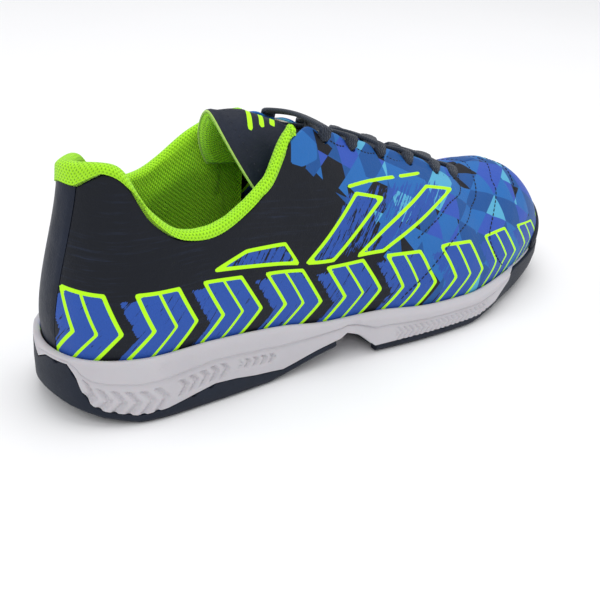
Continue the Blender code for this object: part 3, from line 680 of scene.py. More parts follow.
def woven_cloth(name, dark, light, pitch=0.9, sheen=0.15):
    """A plain woven lining: crossed threads at the given pitch in millimetres."""
    n = Nodes(name, Specular_IOR_Level=0.2, Sheen_Weight=sheen, Sheen_Roughness=0.5)
    where = n.place()
    turn = math.tau / pitch
    warp = n.math("SINE", n.dot(where, (turn, turn * 0.12, turn * 0.3)))
    weft = n.math("SINE", n.dot(where, (-turn * 0.1, turn, turn * 0.35)))
    weave = n.math("MULTIPLY_ADD", n.math("MULTIPLY", warp, weft), 0.5, 0.5)
    fuzz = n.noise(where, 1.2, 4, 0.65)
    color = n.mix(n.between(fuzz, weave, fuzz), dark, light)
    n.bump((weave, 0.16), (fuzz, 0.1))
    return n.finish(color, n.between(fuzz, 0.78, 0.96))


def soft_foam():
    """Open-cell grey foam."""
    n = Nodes("soft_foam", Specular_IOR_Level=0.15)
    where = n.place()
    pores = n.cells(where, 1.1)
    cloud = n.noise(where, 0.3, 4, 0.6)
    color = n.mix(cloud, srgb(150, 150, 148), srgb(196, 196, 190))
    color = n.mix(n.step(pores, 0.35, 0.1), color, srgb(95, 95, 95))
    n.bump((pores, 0.35), (cloud, 0.2))
    return n.finish(color, n.between(cloud, 0.86, 0.98))


def midsole_foam():
    """Moulded sole foam, pale lilac grey, with a fine satin texture and a little grime."""
    n = Nodes("midsole_foam", Specular_IOR_Level=0.4, Subsurface_Weight=0.06, Subsurface_Scale=0.003)
    where = n.place()
    cloud = n.noise(where, 0.035, 4, 0.55)
    speck = n.noise(where, 1.8, 3, 0.6)
    grime = n.step(n.noise(where, 0.11, 5, 0.7), 0.6, 0.85)
    color = n.mix(cloud, srgb(182, 179, 184), srgb(198, 195, 200))
    color = n.mix(n.math("MULTIPLY", grime, 0.25), color, srgb(150, 146, 149))
    n.bump((speck, 0.05), (n.noise(where, 0.4, 3), 0.1))
    return n.finish(color, n.between(speck, 0.45, 0.6))


def rubber():
    """Dark navy outsole rubber, matt, with faint mould texture and scuffs."""
    n = Nodes("dark_rubber", Specular_IOR_Level=0.25)
    where = n.place()
    cloud = n.noise(where, 0.07, 4, 0.6)
    grit = n.noise(where, 2.2, 4, 0.7)
    scuff = n.step(n.noise(where, 0.35, 6, 0.75), 0.56, 0.8)
    color = n.mix(cloud, srgb(17, 23, 34), srgb(30, 38, 54))
    color = n.mix(n.math("MULTIPLY", scuff, 0.35), color, srgb(62, 70, 84))
    n.bump((grit, 0.09), (cloud, 0.3))
    return n.finish(color, n.between(grit, 0.48, 0.68))


def lace_cord():
    """Flat braided lace: ribs along it and slanting picks across them, from its own coordinates."""
    n = Nodes("lace_cord", Specular_IOR_Level=0.25, Sheen_Weight=0.2, Sheen_Roughness=0.45)
    flat = n.field("flat", output=1)
    where = n.place()
    pick = n.math("SINE", n.dot(flat, (math.tau / 1.1, math.tau / 1.6, 0)))
    rib = n.math("SINE", n.dot(flat, (0, math.tau / 1.25, 0)))
    fuzz = n.noise(where, 1.6, 4, 0.65)
    braid = n.math("MULTIPLY_ADD", n.math("ADD", pick, rib), 0.25, 0.5)
    color = n.mix(n.between(0.35, braid, fuzz), srgb(20, 25, 34), srgb(52, 61, 76))
    n.bump((braid, 0.28), (fuzz, 0.1))
    return n.finish(color, n.between(fuzz, 0.7, 0.92))


# ---------------------------------------------------------------- camera, light and floor


CAMERA_ANGLES = (-38.5, 27.1, 3.25)
CAMERA_DISTANCE = 490.9
CAMERA_TARGET = np.array([129.4, 0.0, 11.1])
CAMERA_LENS = 63.06


def make_camera():
    """A camera behind and above the outer side, looking forward along the shoe."""
    azimuth, elevation, roll = (math.radians(a) for a in CAMERA_ANGLES)
    back = np.array([
        math.sin(azimuth) * math.cos(elevation),
        -math.cos(azimuth) * math.cos(elevation),
        math.sin(elevation),
    ])
    right = unit(np.cross(-back, [0, 0, 1]))
    up = np.cross(right, -back)
    side = math.cos(roll) * right + math.sin(roll) * up
    over = -math.sin(roll) * right + math.cos(roll) * up
    data = bpy.data.cameras.new("camera")
    data.lens = CAMERA_LENS
    data.sensor_width = 36
    data.clip_start = 0.01
    camera = bpy.data.objects.new("camera", data)
    matrix = np.eye(4)
    matrix[:3, 0], matrix[:3, 1], matrix[:3, 2] = side, over, back
    matrix[:3, 3] = place(CAMERA_TARGET + back * CAMERA_DISTANCE)
    camera.matrix_world = Matrix(matrix.tolist())
    bpy.context.scene.collection.objects.link(camera)
    bpy.context.scene.camera = camera


# Soft boxes: name, place and size in metres, and power in watts.
LIGHTS = [
    ("key", (-0.75, -0.7, 1.15), (0.9, 0.9), 6),
    ("top", (0.25, 0.1, 1.3), (1.3, 1.0), 8),
    ("rim", (-0.9, 0.75, 0.5), (0.5, 0.9), 2),
    ("front", (0.9, -0.9, 0.6), (0.9, 0.7), 2),
]


def area_light(name, at, size, power):
    """A soft box at a place in metres, aimed at the shoe."""
    data = bpy.data.lights.new(name, "AREA")
    data.shape = "RECTANGLE"
    data.size, data.size_y = size
    data.energy = power
    light = bpy.data.objects.new(name, data)
    light.location = at
    aim = Vector((0, 0, 0.04)) - Vector(at)
    light.rotation_euler = aim.to_track_quat("-Z", "Y").to_euler()
    bpy.context.scene.collection.objects.link(light)


def make_stage():
    """A pale floor, soft boxes and a bright plain surround."""
    n = Nodes("floor", Specular_IOR_Level=0.2)
    cloud = n.noise(n.place(), 0.004, 3)
    floor_color = n.finish(n.mix(cloud, srgb(243, 243, 244), srgb(247, 247, 248)), 0.75)
    bpy.ops.mesh.primitive_plane_add(size=6, location=(0, 0, -0.0004))
    floor = bpy.context.object
    floor.name = "floor"
    floor.data.materials.append(floor_color)
    for light in LIGHTS:
        area_light(*light)
    world = bpy.data.worlds.new("surround")
    world.use_nodes = True
    background = world.node_tree.nodes["Background"]
    background.inputs["Color"].default_value = (0.98, 0.985, 1.0, 1)
    background.inputs["Strength"].default_value = 0.62
    bpy.context.scene.world = world
    bpy.context.scene.view_settings.view_transform = "Standard"


# ---------------------------------------------------------------- the print


# Outlines in mm: forwards along the feather edge from the heel, and up from it. The chevrons are
# drawn BAND high, then stretched to the height that BAND_TOP gives.
BAND = 26.0
BAND_TOP = [(0, 27), (60, 25), (100, 24.5), (160, 25.5), (200, 26.5), (245, 22), (275, 16), (310, 12)]
CHEVRON = [(0, -5), (19, -5), (32, 11), (23, 26.5), (5, 26.5), (13.5, 11)]
CHEVRON_BACK = [(-1.5, -6), (9, -6), (22.8, 11), (13.5, 27.5), (3, 27.5), (12, 11)]
CHEVRONS = 10
CHEVRON_START = 5
CHEVRON_PITCH = 31.0
LINE_HALF = 0.78
SHARDS = [
    [(78, 29.5), (119, 28.5), (114, 37), (94, 35.5)],
    [(124, 28.5), (137, 28.5), (167, 51.5), (154, 55)],
    [(150, 28.5), (163, 28.5), (208, 52), (193, 55)],
]
ACCENTS = [[(151, 58.5), (176, 60.5)], [(180, 60.8), (191, 61.6)]]
BRUSHED = [(128, 27), (168, 27), (214, 50), (196, 62), (146, 59)]
PATCH = [(128.5, 84.5), (134, 85.5), (140, 78.5), (138, 72), (129.5, 69.5), (124.5, 71)]


def polygon_distance(s, w, corners):
    """Distance to a polygon's outline, positive inside it."""
    outline = corners + corners[:1]
    inside = np.zeros(s.shape, bool)
    for (ax, ay), (bx, by) in zip(outline, outline[1:]):
        if by != ay:
            crosses = (ay > w) != (by > w)
            inside ^= crosses & (s < ax + (w - ay) * (bx - ax) / (by - ay))
    distance = line_distance(s, w, outline)
    return np.where(inside, distance, -distance)


def line_distance(s, w, points):
    """Distance to an open line of points."""
    distance = np.full(s.shape, 1e9)
    for (ax, ay), (bx, by) in zip(points, points[1:]):
        dx, dy = bx - ax, by - ay
        t = np.clip(((s - ax) * dx + (w - ay) * dy) / (dx * dx + dy * dy), 0, 1)
        distance = np.minimum(distance, np.hypot(s - ax - t * dx, w - ay - t * dy))
    return distance


def shifted(corners, ds, dw=0.0):
    return [(x + ds, y + dw) for x, y in corners]


def print_fields(column, height):
    """Values that draw the print at points given by column and height above the feather edge.

    flat is the place on the print in mm; block, middle, shard and patch are distances inside their
    outlines; line is the distance to the loose lime lines; streak says how much of the brushed blue
    covers, and mosaic how much of the polygons.
    """
    along = along_at(column)
    s = np.where(column < TOE, along, PERIMETER - along)
    h = height * BAND / profile(BAND_TOP, s)

    def inside_any(at, shapes):
        return np.max([polygon_distance(s, at, corners) for corners in shapes], axis=0)

    starts = [CHEVRON_START + CHEVRON_PITCH * number for number in range(CHEVRONS)]
    block = inside_any(h, [shifted(CHEVRON, start) for start in starts])
    shadow = inside_any(h, [shifted(CHEVRON, start - 6, -2.5) for start in starts])
    shard = inside_any(height, SHARDS)
    streaks = (
        0.58 * smoothstep(shadow, -2.5, 0.5),
        np.where(block > 0, 0.62, 0.0),
        0.56 * smoothstep(shard, -1, 1),
        0.5 * smoothstep(polygon_distance(s, height, BRUSHED), -9, 7),
    )
    return {
        "flat": np.stack([s, height, 0 * height], -1),
        "block": block,
        "middle": inside_any(h, [shifted(CHEVRON_BACK, start) for start in starts]),
        "line": np.min([line_distance(s, height, points) for points in ACCENTS], axis=0),
        "shard": shard,
        "patch": polygon_distance(s, height, PATCH),
        "streak": np.max(streaks, axis=0),
        "mosaic": smoothstep(s + 0.8 * (height - 40), 146, 182),
    }


# ---------------------------------------------------------------- upper


# Quilting lines as stops of column and level, from the ridge of the vamp down to the sole.
QUILT_ARCS = [
    [(9.3, 1), (8.97, 0.84), (7.85, 0.68), (7.35, 0.54), (6.78, 0.41)],
    [
        (10.4, 1), (9.93, 0.82), (9.43, 0.68), (8.2, 0.53), (7.65, 0.42), (7.15, 0.27),
        (6.55, 0.1), (6.4, 0.03),
    ],
    [(12, 1), (10.78, 0.79), (10.53, 0.66), (10, 0.51), (9.6, 0.4), (9.68, 0.29), (10.23, 0.08)],
    [(13.4, 1), (11.9, 0.74), (11.5, 0.64), (11.28, 0.56)],
]
UPPER_STEP = 1.15
UPPER_ROWS = 66
# The upper's cut edge: rows below it, and how far both faces are drawn in there to round it.
EDGE_ROWS = np.array([0, 0.2, 0.5, 1.0, 1.8])
EDGE_ROUNDING = np.array([[0.72, 0.4, 0.18, 0.05, 0.0], [0.62, 0.35, 0.16, 0.04, 0.0]])


def collar_edge(column):
    """Level where the upper meets the rolled collar: lower on the tab at the back of the heel."""
    return level_below_top(column, profile(EDGE_BELOW_TOP, side_of(column)))


def edge_below(column):
    """How far the upper's edge lies below the top line: under the collar, then scalloped."""
    side = side_of(column)
    under = profile(EDGE_BELOW_TOP, side) * (1 - smoothstep(side, COLLAR_END, 5.3))
    notch = sum(3.4 * np.exp(-(((side - k) / 0.15) ** 2)) for k in EYELETS)
    return under + notch


def eyelet_centres():
    """Place and normal of each of the twelve eyelets."""
    found = []
    for k in EYELETS + [COLUMNS - k for k in EYELETS]:
        level = level_below_top(k, EYELET_IN)
        found.append((layer(k, level, 0), normal_at(k, level)))
    return found


def arc_routes():
    """The quilting lines across the vamp, on both sides, as points and normals."""
    routes = []
    for arc in QUILT_ARCS:
        for side in (1, -1):
            stops = smooth_route(arc, 12)
            k = np.where(side > 0, stops[:, 0], COLUMNS - stops[:, 0])
            v = np.clip(stops[:, 1], 0, 1)
            routes.append((surface(k, v), normal_at(k, v)))
    return routes


def nearest(points, marks):
    """Distance from each point to the nearest mark."""
    flat = points.reshape(-1, 3)
    best = np.full(len(flat), 1e9)
    for mark in marks:
        best = np.minimum(best, ((flat - mark) ** 2).sum(1))
    return np.sqrt(best).reshape(points.shape[:-1])


def soft_noise(points, size, seed):
    """Smooth waves of the given size in mm, the same each run."""
    random = np.random.default_rng(seed)
    total = np.zeros(points.shape[:-1])
    for _ in range(7):
        direction = random.normal(size=3)
        direction = direction / np.linalg.norm(direction) * math.tau / (size * random.uniform(0.7, 1.5))
        total += np.sin(points @ direction + random.uniform(0, math.tau))
    return total / 7


def upper_relief(points, column, height):
    """How far the upper stands proud of its last, in mm."""
    arcs = np.vstack([route[::2] for route, _ in arc_routes()])
    away = nearest(points, arcs)
    quilted = smoothstep(column_side_along(column), 150, 200)
    relief = 0.45 * quilted * (1 - np.exp(-((away / 4.5) ** 2))) - 0.35 * np.exp(-((away / 0.9) ** 2))
    relief += 0.35 * soft_noise(points, 46, 5) + 0.12 * soft_noise(points, 15, 8)
    return relief * smoothstep(height, 3, 10)


def column_side_along(column):
    """Distance along the feather edge from the back of the heel, on the column's own side."""
    along = along_at(column)
    return np.minimum(along, PERIMETER - along)


def floor_ring(columns, out, above):
    """Points beside the feather edge, at a height above the foot bed."""
    point, away = feather(columns)
    points = point + away * out
    points[..., 2] = floor_height(points) + above
    return points


def upper_grid(columns):
    """Columns, levels and heights of the upper's visible sheet, from the feather edge to its edge."""
    length = meridian_length(columns)[:, None]
    top = 1 - edge_below(columns)[:, None] / length
    edge = top - EDGE_ROWS[::-1] / length
    body = np.linspace(0, 1, UPPER_ROWS)[None, :-1] * edge[:, :1]
    levels = np.concatenate([body, edge], 1)
    k = column_grid(columns, levels)
    heights = running_length(surface(k, levels))
    return k, levels, heights


def turn_rings(columns, depth):
    """The edge turned in under the foot: three rings at a depth inside the upper's outer face."""
    rings = (
        (-TURN_IN, depth),
        (-1.8 - 0.3 * depth, depth),
        (-0.3 - depth, 1.8 + 0.3 * depth),
    )
    return np.stack([floor_ring(columns, out, above - TURN_DROP) for out, above in rings], 1)


def tab_puff(k, levels):
    """Padding of the eyestay between its eyelets."""
    side = side_of(k)
    below = (1 - levels) * meridian_length(k)
    gap = np.min([np.abs(side - e) for e in EYELETS], axis=0)
    between = smoothstep(gap, 0.08, 0.22) * smoothstep(side, 5.3, 5.6) * (1 - smoothstep(side, 8.4, 8.8))
    raised = 0.9 * between * np.exp(-(((below - 3.6) / 2.6) ** 2))
    return raised - 0.35 * between * np.exp(-(((below - 8.2) / 0.8) ** 2))


def make_upper(fabric):
    """The upper's sheet with its turned-in edge, its eyelets and the fields that draw the print."""
    first = along_at(BACKSTAY_HALF + 0.02)
    last = PERIMETER - first
    columns = column_at(np.linspace(first, last, int((last - first) / UPPER_STEP)))
    k, levels, heights = upper_grid(columns)
    base = surface(k, levels)
    proud = upper_relief(base, k, heights) + tab_puff(k, levels)
    rounding = np.zeros((2, *levels.shape))
    rounding[:, :, -len(EDGE_ROWS):] = EDGE_ROUNDING[:, None, ::-1]
    outer = np.concatenate([turn_rings(columns, 0), layer(k, levels, rounding[0] - proud)], 1)
    inner = np.concatenate([turn_rings(columns, UPPER), layer(k, levels, UPPER - rounding[1])], 1)
    turned = outer.shape[1] - k.shape[1]
    count = outer.shape[0] * outer.shape[1]
    quads = grid_quads(*outer.shape[:2])
    outer, inner, quads = punch_eyelets(outer, inner, quads)
    padded_k = np.pad(k, ((0, 0), (turned, 0)), mode="edge")
    padded_h = np.pad(heights, ((0, 0), (turned, 0)), constant_values=-9)
    fields = print_fields(padded_k, padded_h)
    fields = {f: np.concatenate([v.reshape(count, *v.shape[2:])] * 2) for f, v in fields.items()}
    points = np.vstack([outer.reshape(-1, 3), inner.reshape(-1, 3)])
    faces = shell_faces(quads, count)
    upper = new_piece("upper_printed", points, faces, fabric, "printed_leather", fields=fields, angle=50)
    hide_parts("upper")


def punch_eyelets(outer, inner, quads):
    """Cuts round holes in a sheet: drops the quads inside and draws their rim onto the circle."""
    flat_out, flat_in = outer.reshape(-1, 3).copy(), inner.reshape(-1, 3).copy()
    quads = quads.reshape(-1, 4)
    for centre, normal in eyelet_centres():
        offset = flat_out - centre
        offset = offset - (offset @ normal)[:, None] * normal
        radius = np.linalg.norm(offset, axis=1)
        close = np.linalg.norm(flat_out - centre, axis=1) < EYELET_NEAR
        inside = close & (radius < EYELET_RADIUS)
        gone = inside[quads].all(1)
        rim = np.zeros(len(flat_out), bool)
        rim[quads[~gone].ravel()] = True
        rim &= inside
        quads = quads[~gone]
        push = offset / (radius[:, None] + 1e-9) * (EYELET_RADIUS - radius)[:, None]
        flat_out[rim] += push[rim]
        flat_in[rim] += push[rim]
    return flat_out.reshape(outer.shape), flat_in.reshape(inner.shape), quads


def make_backstay(plain):
    """The strip over the back seam, slightly raised."""
    columns = np.linspace(-BACKSTAY_HALF, BACKSTAY_HALF, 21)
    _, levels, heights = upper_grid(columns % COLUMNS)
    k = column_grid(columns, levels)
    raised = 0.3 * smoothstep(BACKSTAY_HALF - np.abs(k), 0, 0.08) * smoothstep(heights, 3, 8)
    outer = np.concatenate([turn_rings(columns, 0), layer(k, levels, -raised)], 1)
    inner = np.concatenate([turn_rings(columns, UPPER), layer(k, levels, UPPER)], 1)
    strip = shell("heel_backstay_strip", outer, inner, plain, "plain_leather")
    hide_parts("heel_backstay")


def make_upper_stitches(dark):
    """Quilting across the vamp and arcs under the eyestay's tabs."""
    parts = []
    for route, normals in arc_routes():
        keep = route[:, 2] > 20
        line = np.hstack([route[keep] - 0.25 * normals[keep], normals[keep]])
        line = even_route(line, 1.0)
        parts += stitch_parts(line[:, :3], line[:, 3:], 2.2, 0.4, 0.28)
    t = np.linspace(0, 1, 12)
    inset = 0.1
    for first, second in zip(EYELETS, EYELETS[1:]):
        for side in (1, -1):
            k = first + inset + (second - first - 2 * inset) * t
            k = k if side > 0 else COLUMNS - k
            v = level_below_top(k, 7.8 + 1.5 * np.sin(math.pi * t))
            line = np.hstack([layer(k, v, 0.1), normal_at(k, v)])
            line = even_route(line, 0.8)
            parts += stitch_parts(line[:, :3], line[:, 3:], 1.5, 0.5, 0.3)
    points, faces = join_parts(parts)
    new_piece("upper_stitches", points, faces, dark, "plain_leather", angle=80)


# ---------------------------------------------------------------- sole


HALF_COLUMNS = column_at(np.linspace(0, along_at(TOE), 361))
RING = np.concatenate([HALF_COLUMNS, COLUMNS - HALF_COLUMNS[-2:0:-1]])


def ring(columns, out, height):
    """Points beside the feather edge: out mm outside it, at the given heights."""
    point, away = feather(columns)
    points = point + away * np.broadcast_to(out, len(columns))[:, None]
    points[:, 2] = height
    return points


def ladder_faces(n, count, closed=True):
    """Faces of stacked rings, whose first and last are filled by rungs between mirrored columns."""
    last = count - 1
    faces = []
    for r in range(last):
        for j in range(n if closed else n - 1):
            a, b = r * n + j, r * n + (j + 1) % n
            faces.append((a, a + n, b + n, b))
    for r in (0, last):
        for j in range(n // 2):
            rung = [j, j + 1, (n - j - 1) % n, (n - j) % n] if closed else [j, j + 1, n - 2 - j, n - 1 - j]
            rung = [r * n + i for i in dict.fromkeys(rung)]
            if len(rung) > 2:
                faces.append(rung if r == 0 else rung[::-1])
    if not closed:
        for j in (0, n - 1):
            faces.append([r * n + j for r in range(last + 1)])
        faces.append([0, last * n, last * n + n - 1, n - 1])
    return faces


# The midsole's side, by the share of the way from its rim to its step: mm outside the feather edge.
SIDE_SHAPE = [
    (0.02, RIM_OUT - 0.35), (0.05, RIM_OUT), (0.1, 2.85), (0.2, 3.1), (0.36, 3.3), (0.41, 3.25),
    (0.435, 2.55), (0.46, 2.25), (0.49, 2.45), (0.54, 2.75), (0.8, 3.2), (1, SIDE_OUT),
]
SIDE_BEHIND_TOE = 2.9
CHEVRON_CENTRE = 0.76
# Groups of chevrons: start and end along the feather edge, centre height, half height and pitch.
CHEVRON_GROUPS = [(24, 58, -0.6, 6.0, 5.4), (61, 84, 0.8, 4.2, 4.8), (88, 108, 2.0, 3.0, 4.2)]


def wall_top(columns, bottom):
    """Height where an outsole's wall ends: above its bottom and below the midsole's rim band."""
    side = side_of(columns)
    top = np.where(side > REAR_TREAD_END, profile(FRONT_WALL_TOP, side), profile(REAR_WALL_TOP, side))
    rim = feather(columns)[0][:, 2]
    return np.minimum(np.maximum(top, bottom + 0.6), rim - RIM_BAND)


def tuck(columns):
    """How far the foot of the sole's wall is drawn in round the toe."""
    return profile(TOE_TUCK, side_of(columns))


def toe_cover(columns):
    """Where the rubber wall reaches up over the midsole's rim, round the toe: 0 to 1."""
    return smoothstep(side_of(columns), 10.2, 10.7)


def sole_bottom(x):
    """Height of the midsole's underside: on the treads, and arched between them."""
    raised = TREAD_FLOOR + GAP
    under = [(a, b + raised) for a, b in GROUND_REAR] + ARCH + [(a, b + raised) for a, b in GROUND_FRONT]
    return profile(under, x)


def chevron_relief(s, h):
    """Pressed-in chevrons along the rear wall and a fine herringbone along the forefoot."""
    depth = np.zeros(s.shape)
    for start, end, centre, half, pitch in CHEVRON_GROUPS:
        off = h - centre
        forward = s + 0.8 * np.abs(off)
        groove = smoothstep(np.cos(math.tau * forward / pitch), -0.1, 0.75)
        inside = smoothstep(forward, start, start + 1.2) * smoothstep(-forward, -end, 1.2 - end)
        depth += 1.05 * groove * inside * smoothstep(-np.abs(off), -half, 1.0 - half)
    off = h + 0.3
    forward = s + 0.9 * np.abs(off)
    groove = smoothstep(np.cos(math.tau * forward / 3.0), -0.1, 0.8)
    fine = smoothstep(s, 168, 172) * smoothstep(-s, -230, -224) * smoothstep(-np.abs(off), -3.6, -2.8)
    return depth + 0.6 * groove * fine


def make_midsole(foam):
    columns = RING
    point, _ = feather(columns)
    x, rim = point[:, 0], point[:, 2]
    bottom = sole_bottom(x)
    step = wall_top(columns, bottom - GAP) + GAP
    s = column_side_along(columns)
    cup = 0.9 * smoothstep(s, 148, 150.5) * (1 - smoothstep(s, 262, 285))
    rings = [floor_ring(columns, GAP, -BASIN_DEPTH)]
    rings += [ring(columns, GAP, rim - below) for below in (2.5, 0.5)]
    # In front the rubber wall covers the rim, so the midsole keeps behind it.
    covered = toe_cover(columns)
    for out, above in ((0.7, 0.05), (1.3, 0.2), (1.9, 0.05)):
        rings.append(ring(columns, out * (1 - 0.8 * covered), rim + above - 0.4 * covered))
    band = rim - step
    rows = np.linspace(0.02, 0.34, 7), np.linspace(0.37, 0.53, 11), np.linspace(0.56, 1, 22)
    for t in np.concatenate(rows):
        press = chevron_relief(s, (CHEVRON_CENTRE - t) * band) * smoothstep(t, 0.56, 0.6)
        out = profile(SIDE_SHAPE, t) - press + cup * smoothstep(t, 0.03, 0.2)
        rings.append(ring(columns, out - SIDE_BEHIND_TOE * covered, rim - t * band))
    recess = SIDE_OUT - TREAD_WALL - GAP
    drawn = WALL_TUCK * tuck(columns)
    rings += [ring(columns, recess, step), ring(columns, recess - 0.3 - drawn, bottom)]
    rings += [ring(columns, recess - 3 - drawn, bottom)]
    faces = ladder_faces(len(columns), len(rings))
    made = new_piece("midsole_moulded", np.vstack(rings), faces, foam, "midsole_foam")
    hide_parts("midsole")


NOTCHES = (12, 20, 66, 74, 176, 198, 222, 240, 258)


def tread_notches(columns):
    """Small steps along the top edge of the outsole's wall."""
    s = column_side_along(columns)
    return 1.1 * sum(np.exp(-(((s - at) / 1.1) ** 4)) for at in NOTCHES)


def make_outsole(name, node, columns, ground, material):
    point, _ = feather(columns)
    low = profile(ground, point[:, 0])
    top = wall_top(columns, low + TREAD_FLOOR) - tread_notches(columns)
    top = np.maximum(top, low + TREAD_FLOOR + 0.3)
    covered = toe_cover(columns)
    top = top + (point[:, 2] - 0.1 - top) * covered
    lean = 0.9 * covered
    foot = tuck(columns)
    drawn = WALL_TUCK * foot
    inside = SIDE_OUT - TREAD_WALL
    # The wall and the tread's rim in section: mm outside the feather edge, and height.
    section = (
        (inside - 0.4 - drawn, low + TREAD_FLOOR),
        (inside - lean, top - 0.2),
        (inside + 0.3 - lean, top),
        (SIDE_OUT - 0.35 - lean, top),
        (SIDE_OUT + 0.05 - lean, top - 0.35),
        (SIDE_OUT + 0.25 - 0.4 * drawn - 0.5 * lean, top - 0.5 * (top - low)),
        (SIDE_OUT - drawn, low + 1.5),
        (SIDE_OUT - 0.5 - 0.8 * foot, low + 0.6),
        (SIDE_OUT - 1.4 - foot, low),
        (-0.8 - foot, low),
        (-1.2 - foot, low + TREAD_CUT),
    )
    rings = [ring(columns, out, height) for out, height in section]
    base = np.vstack(rings), ladder_faces(len(columns), len(rings), closed=False)
    points, faces = join_parts([base] + tread_lugs(columns, ground))
    made = new_piece(name, points, faces, material, "outsole_rubber")
    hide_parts(node)


# Herringbone ridges: how far apart they are, half their width and how far they swing.
LUGS = (5.6, 1.45, 4.5)
TREAD_CUT = 1.5


def tread_lugs(columns, ground):
    """Herringbone ridges across the tread, inside its rim."""
    edge = ring(columns, -1.0 - tuck(columns), 0.0)
    outer = edge[side_sign(columns) < 0]
    inner = edge[side_sign(columns) > 0]
    outer, inner = (e[np.argsort(e[:, 0])] for e in (outer, inner))
    low_x = max(outer[0, 0], inner[0, 0]) + 2
    high_x = min(outer[-1, 0], inner[-1, 0]) - 2
    parts = []
    pitch, half_width, swing = LUGS
    steps = np.linspace(-1, 1, 41)
    zigzag = 2 * np.abs((steps * 3) % 2 - 1) - 1
    for x0 in np.arange(low_x + swing, high_x - swing, pitch):
        x = x0 + swing * zigzag
        y_out = np.interp(x, outer[:, 0], outer[:, 1])
        y_in = np.interp(x, inner[:, 0], inner[:, 1])
        y = y_out + (y_in - y_out) * (steps + 1) / 2
        z = profile(ground, x)
        ridge = ((-1, TREAD_CUT + 0.3), (-0.8, 0.02), (0.8, 0.02), (1, TREAD_CUT + 0.3))
        corners = [np.stack([x + half_width * dx, y, z + dz], 1) for dx, dz in ridge]
        points = np.stack(corners, 1).reshape(-1, 3)
        parts.append((points, tube_faces(len(steps), 4)))
    return parts


def side_sign(columns):
    return np.where(np.asarray(columns) % COLUMNS < TOE, -1, 1)


def make_outsoles(material):
    half = column_at(np.linspace(0, along_at(REAR_TREAD_END), 121))[1:]
    rear = np.concatenate([COLUMNS - half[::-1], [0], half])
    make_outsole("outsole_rear_tread", "outsole_rear", rear, GROUND_REAR, material)
    half = column_at(np.linspace(along_at(FRONT_TREAD_START), along_at(TOE), 161))[:-1]
    front = np.concatenate([half, [TOE], COLUMNS - half[::-1]])
    make_outsole("outsole_front_tread", "outsole_front", front, GROUND_FRONT, material)


def make_toe_bumper(material):
    """The ribbed rubber cap on the tip of the toe, with rounded edges."""
    columns = TOE + np.linspace(-BUMPER_HALF[-1], BUMPER_HALF[-1], 181)
    high = BUMPER_TOP - BUMPER_FALL * (columns - TOE) ** 2
    rows = np.linspace(0, 1, 14)
    levels = high[:, None] * rows
    k = column_grid(columns, levels)
    edge = (1 - rows)[None, :] * high[:, None] * 60
    ends = np.minimum(k - columns[0], columns[-1] - k) * 24
    rounding = 0.8 * (1 - smoothstep(np.minimum(edge, ends), 0, 1.6))
    ribs = 0.25 * (np.cos(math.tau * rows * 4) > 0.6)[None, :]
    outer = layer(k, levels, -GAP - BUMPER + rounding + ribs * smoothstep(edge, 1.5, 2.5))
    inner = layer(k, levels, -GAP + 0 * levels)
    bumper = shell("toe_bumper_ribbed", outer, inner, material, "outsole_rubber")
    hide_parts("toe_bumper")


# ---------------------------------------------------------------- insole and linings


BOARD = 1.8
BOARD_LOW = -TURN_DROP + UPPER + GAP
INSOLE_LOW = BOARD_LOW + BOARD + GAP
INSOLE_FOAM = 3.6
INSOLE_COVER = 0.8
INSOLE_IN = 5.8


def make_sockliner(cloth):
    """The insole's cover: edges turned up a little and a shallow seat under the heel."""
    low = INSOLE_LOW + INSOLE_FOAM + GAP
    rows = np.linspace(0, 1, 15)
    grids = []
    for above in (low + INSOLE_COVER, low):
        rungs = []
        for k in HALF_COLUMNS[::3]:
            a = floor_ring(np.array([k]), -INSOLE_IN, above)[0]
            b = floor_ring(np.array([COLUMNS - k]), -INSOLE_IN, above)[0]
            rungs.append(a + (b - a) * rows[:, None])
        grids.append(np.array(rungs))
    top = grids[0]
    top[..., 2] -= 0.5 * np.sin(math.pi * rows)
    cover = shell("sockliner_cover_cloth", top, grids[1], cloth, "lining_cloth", body="insole")
    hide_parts("sockliner_cover")


def make_vamp_lining(cloth):
    """The forefoot's lining, seen inside the throat."""
    columns = column_at(np.linspace(along_at(5.5), PERIMETER - along_at(5.5), 260))
    side = side_of(columns)
    top = np.where(side < THROAT_END, 0.8, np.interp(side, [THROAT_END, 10.4], [0.8, 0.95]))
    levels = 0.05 + (top[:, None] - 0.05) * np.linspace(0, 1, 30)
    k = column_grid(columns, levels)
    depth = UPPER + STIFFENER + 2 * GAP
    faces = layer(k, levels, depth), layer(k, levels, depth + LINING)
    lining = shell("vamp_lining_cloth", *faces, cloth, "lining_cloth")
    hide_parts("vamp_lining")


# ---------------------------------------------------------------- collar


def collar_depth(level):
    """How far the collar's inner face stands inside the lasted surface."""
    return np.interp(level, [0, 0.5, 0.75, 0.9], [4.4, 4.9, 7.0, 2 * ROLL_RADIUS])


def roll_arc(k, radius, steps):
    """Points over the top of the collar, from its outer side to its inner side."""
    level = level_below_top(k, ROLL_BELOW_TOP)
    out = normal_at(k, level) * [1, 1, 0]
    out = out / np.linalg.norm(out)
    centre = surface(float(k), level) - out * ROLL_RADIUS
    angles = np.linspace(0, math.pi, steps)
    up = np.array([0.0, 0.0, 1.0])
    return [centre + radius * (math.cos(a) * out + math.sin(a) * up) for a in angles]


